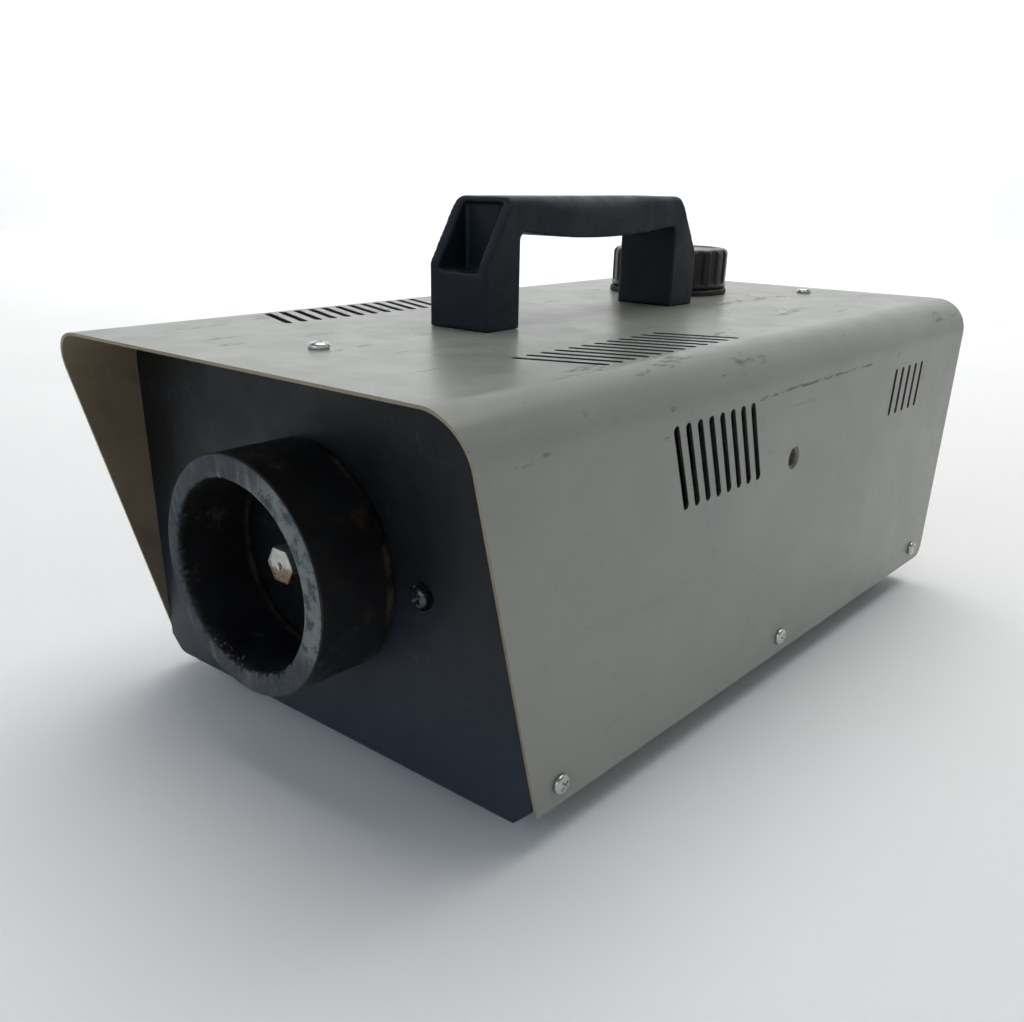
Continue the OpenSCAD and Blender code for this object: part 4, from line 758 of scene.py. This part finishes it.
def make_crumbs():
    """Loose crumbs of plastic and dried fluid on the chipped lip of the tube."""
    low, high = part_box("nozzle_shroud")
    centre_z = (low.z + high.z) / 2
    chance = random.Random(4)
    bm = bmesh.new()
    for _ in range(15):
        a, size = radians(chance.gauss(240, 16)), chance.uniform(0.3, 0.9) * MM
        made = bmesh.ops.create_icosphere(bm, subdivisions=3, radius=size)["verts"]
        seed = Vector((chance.random(), chance.random(), chance.random())) * 50
        spans = ((0.6, 1.5), (0.5, 1.1), (0.5, 1.2))
        stretch = Vector([chance.uniform(*span) for span in spans])
        reach = SHROUD_BORE_R + thinned(a)
        inward = chance.uniform(0.7, 5) * MM
        place = Vector((reach * cos(a), low.y + inward, centre_z + reach * sin(a)))
        turn = Matrix.Rotation(chance.uniform(0, pi), 3, (chance.random(), chance.random(), 1))
        for vert in made:
            at = vert.co / size
            lump = 1 + 0.8 * noise.noise(at * 1.1 + seed) + 0.3 * noise.noise(at * 3 + seed)
            vert.co = place + turn @ Vector([c * k * lump for c, k in zip(vert.co, stretch)])
    crumb = plain("crumbs", (0.06, 0.06, 0.055), 0.7, variation=0.6, depth=0.5, dust=0.5)
    return piece("lip_crumbs", bm, [crumb])


def make_nozzle(mats):
    """Hexagon with crisp, lightly eased corners on a round stem, drilled through."""
    low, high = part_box("nozzle")
    z, flats = (low.z + high.z) / 2, high.z - low.z
    corner = flats / 2 / cos(pi / 6)

    def hexagon(a):
        return min(corner * 0.985, flats / 2 / cos((a + pi / 6) % (pi / 3) - pi / 6))

    rings = [
        lambda a, r=r, d=d, part=part: (hexagon(a + pi / 6) * part + r * MM, low.y + d * MM)
        for r, d, part in (
            (0.9, 30, 0), (0.9, 1.2, 0), (1.3, 0.25, 0), (1.6, 0.0, 0), (5.9, 0.0, 0),
            (-0.6, 0.05, 1), (-0.2, 0.2, 1), (0, 0.6, 1), (0, 11.4, 1), (-0.2, 11.8, 1),
            (-0.6, 12, 1), (6, 12, 0), (6, 16.5, 0), (4.6, 16.5, 0), (4.6, 30, 0),
        )
    ]
    bm, grid = lathe(rings, 180, axis_z=False)
    close_loop(bm, grid)
    bmesh.ops.translate(bm, verts=bm.verts, vec=(0, 0, z))
    bmesh.ops.recalc_face_normals(bm, faces=bm.faces)
    made = piece("hex_nozzle", bm, [mats["nozzle_metal"]], ["nozzle"])
    made.data.set_sharp_from_angle(angle=radians(25))
    return made


def make_handle(mats):
    """Moulded handle: the CAD block with rounded edges and a softly rounded grip."""
    low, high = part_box("handle")
    bm = baked(
        cad_mesh("handle"),
        ("REMESH", {"mode": "VOXEL", "voxel_size": 0.75 * MM}),
        ("SMOOTH", {"factor": 0.5, "iterations": 5}),
    )
    middle, half = (low.y + high.y) / 2, (high.x - low.x) / 2
    gap_end = 61.5 * MM  # where the hand gap ends, measured from the handle's middle

    def pull_in(vert, edge_z, radius, sign):
        """Moves a point that lies outside the rounded corner at edge_z onto it."""
        dx, dz = abs(vert.co.x) - (half - radius), (vert.co.z - edge_z) * sign
        gap = hypot(dx, dz)
        if radius > 0 and dx > 0 and dz > 0 and gap > radius:
            vert.co.x *= (half - radius + dx * radius / gap) / abs(vert.co.x)
            vert.co.z = edge_z + sign * dz * radius / gap

    for vert in bm.verts:
        off = abs(vert.co.y - middle)
        swell = 1 - smoothstep(15 * MM, gap_end, off)
        top_r = (2.5 + 6.5 * swell) * MM
        pull_in(vert, high.z - top_r, top_r, 1)
        under_r = 5 * MM * (1 - smoothstep(gap_end - 16 * MM, gap_end - 1 * MM, off))
        under_z = high.z - (17.5 + 3.6 * swell) * MM
        if vert.co.z > high.z - 24 * MM:
            pull_in(vert, under_z + under_r, under_r, -1)
        vert.co.x = max(low.x, min(high.x, vert.co.x))
        vert.co.y = max(low.y, min(high.y, vert.co.y))
        vert.co.z = max(low.z, min(high.z, vert.co.z))
    return piece("carry_handle", bm, [mats["handle_plastic"]], ["handle"])


def make_cap(mats):
    """Screw cap with twenty broad ribs and a rounded top edge."""
    low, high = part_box("tank_cap")
    centre = (low + high) / 2
    outer, bore = (high.x - low.x) / 2, 28.1 * MM
    roof = high.z - 3.4 * MM
    ribs = 20

    def lobe(a):
        return smoothstep(-0.55, 0.35, cos(ribs * a))

    def ring(r, z, deep=0.0):
        return lambda a: (r - deep * (1 - lobe(a)), z)

    rings = [ring(bore, roof)]
    rings += [ring(bore, low.z + 0.4 * MM), ring(bore + 0.4 * MM, low.z)]
    # The collar round the foot, and the groove above it: inset, height and rib depth
    for inset, up, deep in (
        (0.5, 0, 0), (0.1, 0.4, 0), (0, 1.0, 0), (0.1, 1.8, 0), (0.5, 2.2, 0.2), (0.4, 2.7, 0.9),
    ):
        rings.append(ring(outer - inset * MM, low.z + up * MM, deep * MM))
    top = high.z - 3.2 * MM
    for i in range(1, 9):
        z = low.z + 2.7 * MM + (top - low.z - 2.7 * MM) * i / 8
        rings.append(ring(outer - 0.3 * MM, z, 1.25 * MM))
    for i in range(1, 9):
        a = pi / 2 * i / 8
        r, z = outer - 3.4 * MM + 3.1 * MM * cos(a), top + 3.2 * MM * sin(a)
        rings.append(ring(r, z, 1.25 * MM * cos(a)))
    for r in (27, 26.4, 25.6, 18, 9):
        rings.append(ring(r * MM, high.z - (0.5 * MM if r < 26.5 else 0)))
    bm, grid = lathe(rings, 480)
    fan(bm, grid[-1], (0, 0, high.z - 0.45 * MM))
    fan(bm, grid[0], (0, 0, roof))
    bmesh.ops.translate(bm, verts=bm.verts, vec=(centre.x, centre.y, 0))
    bmesh.ops.recalc_face_normals(bm, faces=bm.faces)
    return piece("filler_cap", bm, [mats["cap_plastic"]], ["tank_cap"], "cap")


# ---------------------------------------------------------------- screws


def pan_head(radius, height):
    """Cross recess pan head that stands on the origin and points up."""
    rings = [lambda a, r=r, z=z: (r * radius, z * height) for r, z in (
        (0.6, 0.0), (0.93, 0.0), (1.0, 0.08), (1.0, 0.3), (0.985, 0.46), (0.94, 0.62),
        (0.86, 0.76), (0.74, 0.88), (0.58, 0.96), (0.4, 0.995), (0.2, 1.0),
    )]
    bm, grid = lathe(rings, 48)
    fan(bm, grid[0], (0, 0, 0))
    fan(bm, grid[-1], (0, 0, height))
    bmesh.ops.recalc_face_normals(bm, faces=bm.faces)
    cutter = bmesh.new()
    wide, narrow = 0.17 * radius, 0.09 * radius
    for turn in (0, pi / 2):
        rows = []
        spin = Matrix.Rotation(turn, 3, "Z")
        top_row = (height * 1.2, 0.68 * radius, wide)
        low_row = (height * 0.15, 0.24 * radius, narrow)
        for z, length, width in (top_row, low_row):
            rows.append([
                cutter.verts.new(spin @ Vector((x * length, y * width, z)))
                for x, y in ((-1, -1), (1, -1), (1, 1), (-1, 1))
            ])
        cutter.faces.new(rows[0])
        cutter.faces.new(rows[1][::-1])
        for i in range(4):
            j = (i + 1) % 4
            cutter.faces.new((rows[0][j], rows[0][i], rows[1][i], rows[1][j]))
    bmesh.ops.recalc_face_normals(cutter, faces=cutter.faces)
    mesh = bpy.data.meshes.new("cutter")
    cutter.to_mesh(mesh)
    cutter.free()
    tool = bpy.data.objects.new("cutter", mesh)
    bpy.context.scene.collection.objects.link(tool)
    out = baked(
        bm,
        ("BOOLEAN", {
            "operation": "DIFFERENCE", "object": tool, "solver": "EXACT", "use_self": True,
        }),
        ("BEVEL", {
            "width": 0.03 * radius, "segments": 2, "limit_method": "ANGLE",
            "angle_limit": radians(40),
        }),
    )
    bpy.data.objects.remove(tool)
    return out


def screw_group(name, node, mats, slot, axis):
    """All screws of a CAD node, with detailed heads in place of the CAD ones. They face axis."""
    bm = cad_mesh(node)
    head = pan_head(SCREW_HEAD_R, SCREW_HEAD_H)
    template = bpy.data.meshes.new("head")
    head.to_mesh(template)
    head.free()
    screws = []
    for number, (low, high) in enumerate(islands(node)):
        face = Vector(axis(low, high))
        size = high - low
        main = max(range(3), key=lambda i: abs(face[i]))
        across = max(size[i] for i in range(3) if i != main)
        # Washers and nuts are wider than long, and bare studs have no head
        if abs(size[main] - max(size)) > 1e-6 or across < SCREW_HEAD_R * 1.8:
            continue
        end = high[main] if face[main] > 0 else low[main]
        seat = end - face[main] * SCREW_HEAD_H
        screws.append((low, high, main, face, seat, number))

    def in_a_head(point):
        for low, high, main, face, seat, _ in screws:
            inside = all(low[i] - 1e-5 <= point[i] <= high[i] + 1e-5 for i in range(3))
            if inside and (point[main] - seat) * face[main] > -1e-5:
                return True
        return False

    cut = [vert for vert in bm.verts if in_a_head(vert.co)]
    bmesh.ops.delete(bm, geom=cut, context="VERTS")
    for low, high, main, face, seat, number in screws:
        place = (low + high) / 2
        place[main] = seat
        turn = face.to_track_quat("Z", "Y").to_matrix().to_4x4()
        spin = Matrix.Rotation(radians(37 * number + 20), 4, "Z")
        one = template.copy()
        one.transform(Matrix.Translation(place) @ turn @ spin)
        bm.from_mesh(one)
    return piece(name, bm, [mats[slot]], [node])


# ---------------------------------------------------------------- assembly


mats = make_materials()
make_camera()
make_light()
make_floor()
make_hood(mats)
make_shroud(mats)
make_handle(mats)
make_cap(mats)
make_from_cad("tray", "chassis", mats, "black_paint", 0.35)
make_from_cad("rear_plate", "rear_panel", mats, "black_paint", 0.25)
make_nozzle(mats)
make_crumbs()
make_from_cad("filler_ring", "neck_grommet", mats, "rubber", 0.4)
make_from_cad("rubber_feet", "feet", mats, "rubber", 0.6, 3)


def outward_x(low, high):
    """To the right for a screw on the right side, and to the left for one on the left."""
    return (1, 0, 0) if low.x + high.x > 0 else (-1, 0, 0)


def towards(x, y, z):
    return lambda low, high: (x, y, z)


for name, node, slot, axis in (
    ("side_screws", "cover_side_screws", "zinc_steel", outward_x),
    ("top_screws", "cover_top_screws", "zinc_steel", towards(0, 0, 1)),
    ("panel_screws", "bracket_screws", "black_steel", towards(0, -1, 0)),
    ("rear_screws", "rear_panel_screws", "black_steel", towards(0, 1, 0)),
    ("under_screws", "base_screws", "zinc_steel", towards(0, 0, -1)),
):
    screw_group(name, node, mats, slot, axis)

shown = {p.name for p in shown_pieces()}
bright_insert = plain(
    "bright_insert", (0.5, 0.5, 0.47), 0.28, 0.75, grain=500, depth=0.3,
    wear=0.5, worn=(0.8, 0.8, 0.76), dust=0.1, marks=0.4,
)
for row in frame["record"]["subparts"]:
    obj = frame["nodes"][row["node"]]
    if row["node"] in shown:
        finish = bright_insert if row["node"] == "yoke_nuts" else mats[row["material_slot"]]
        for place in obj.material_slots:
            place.material = finish
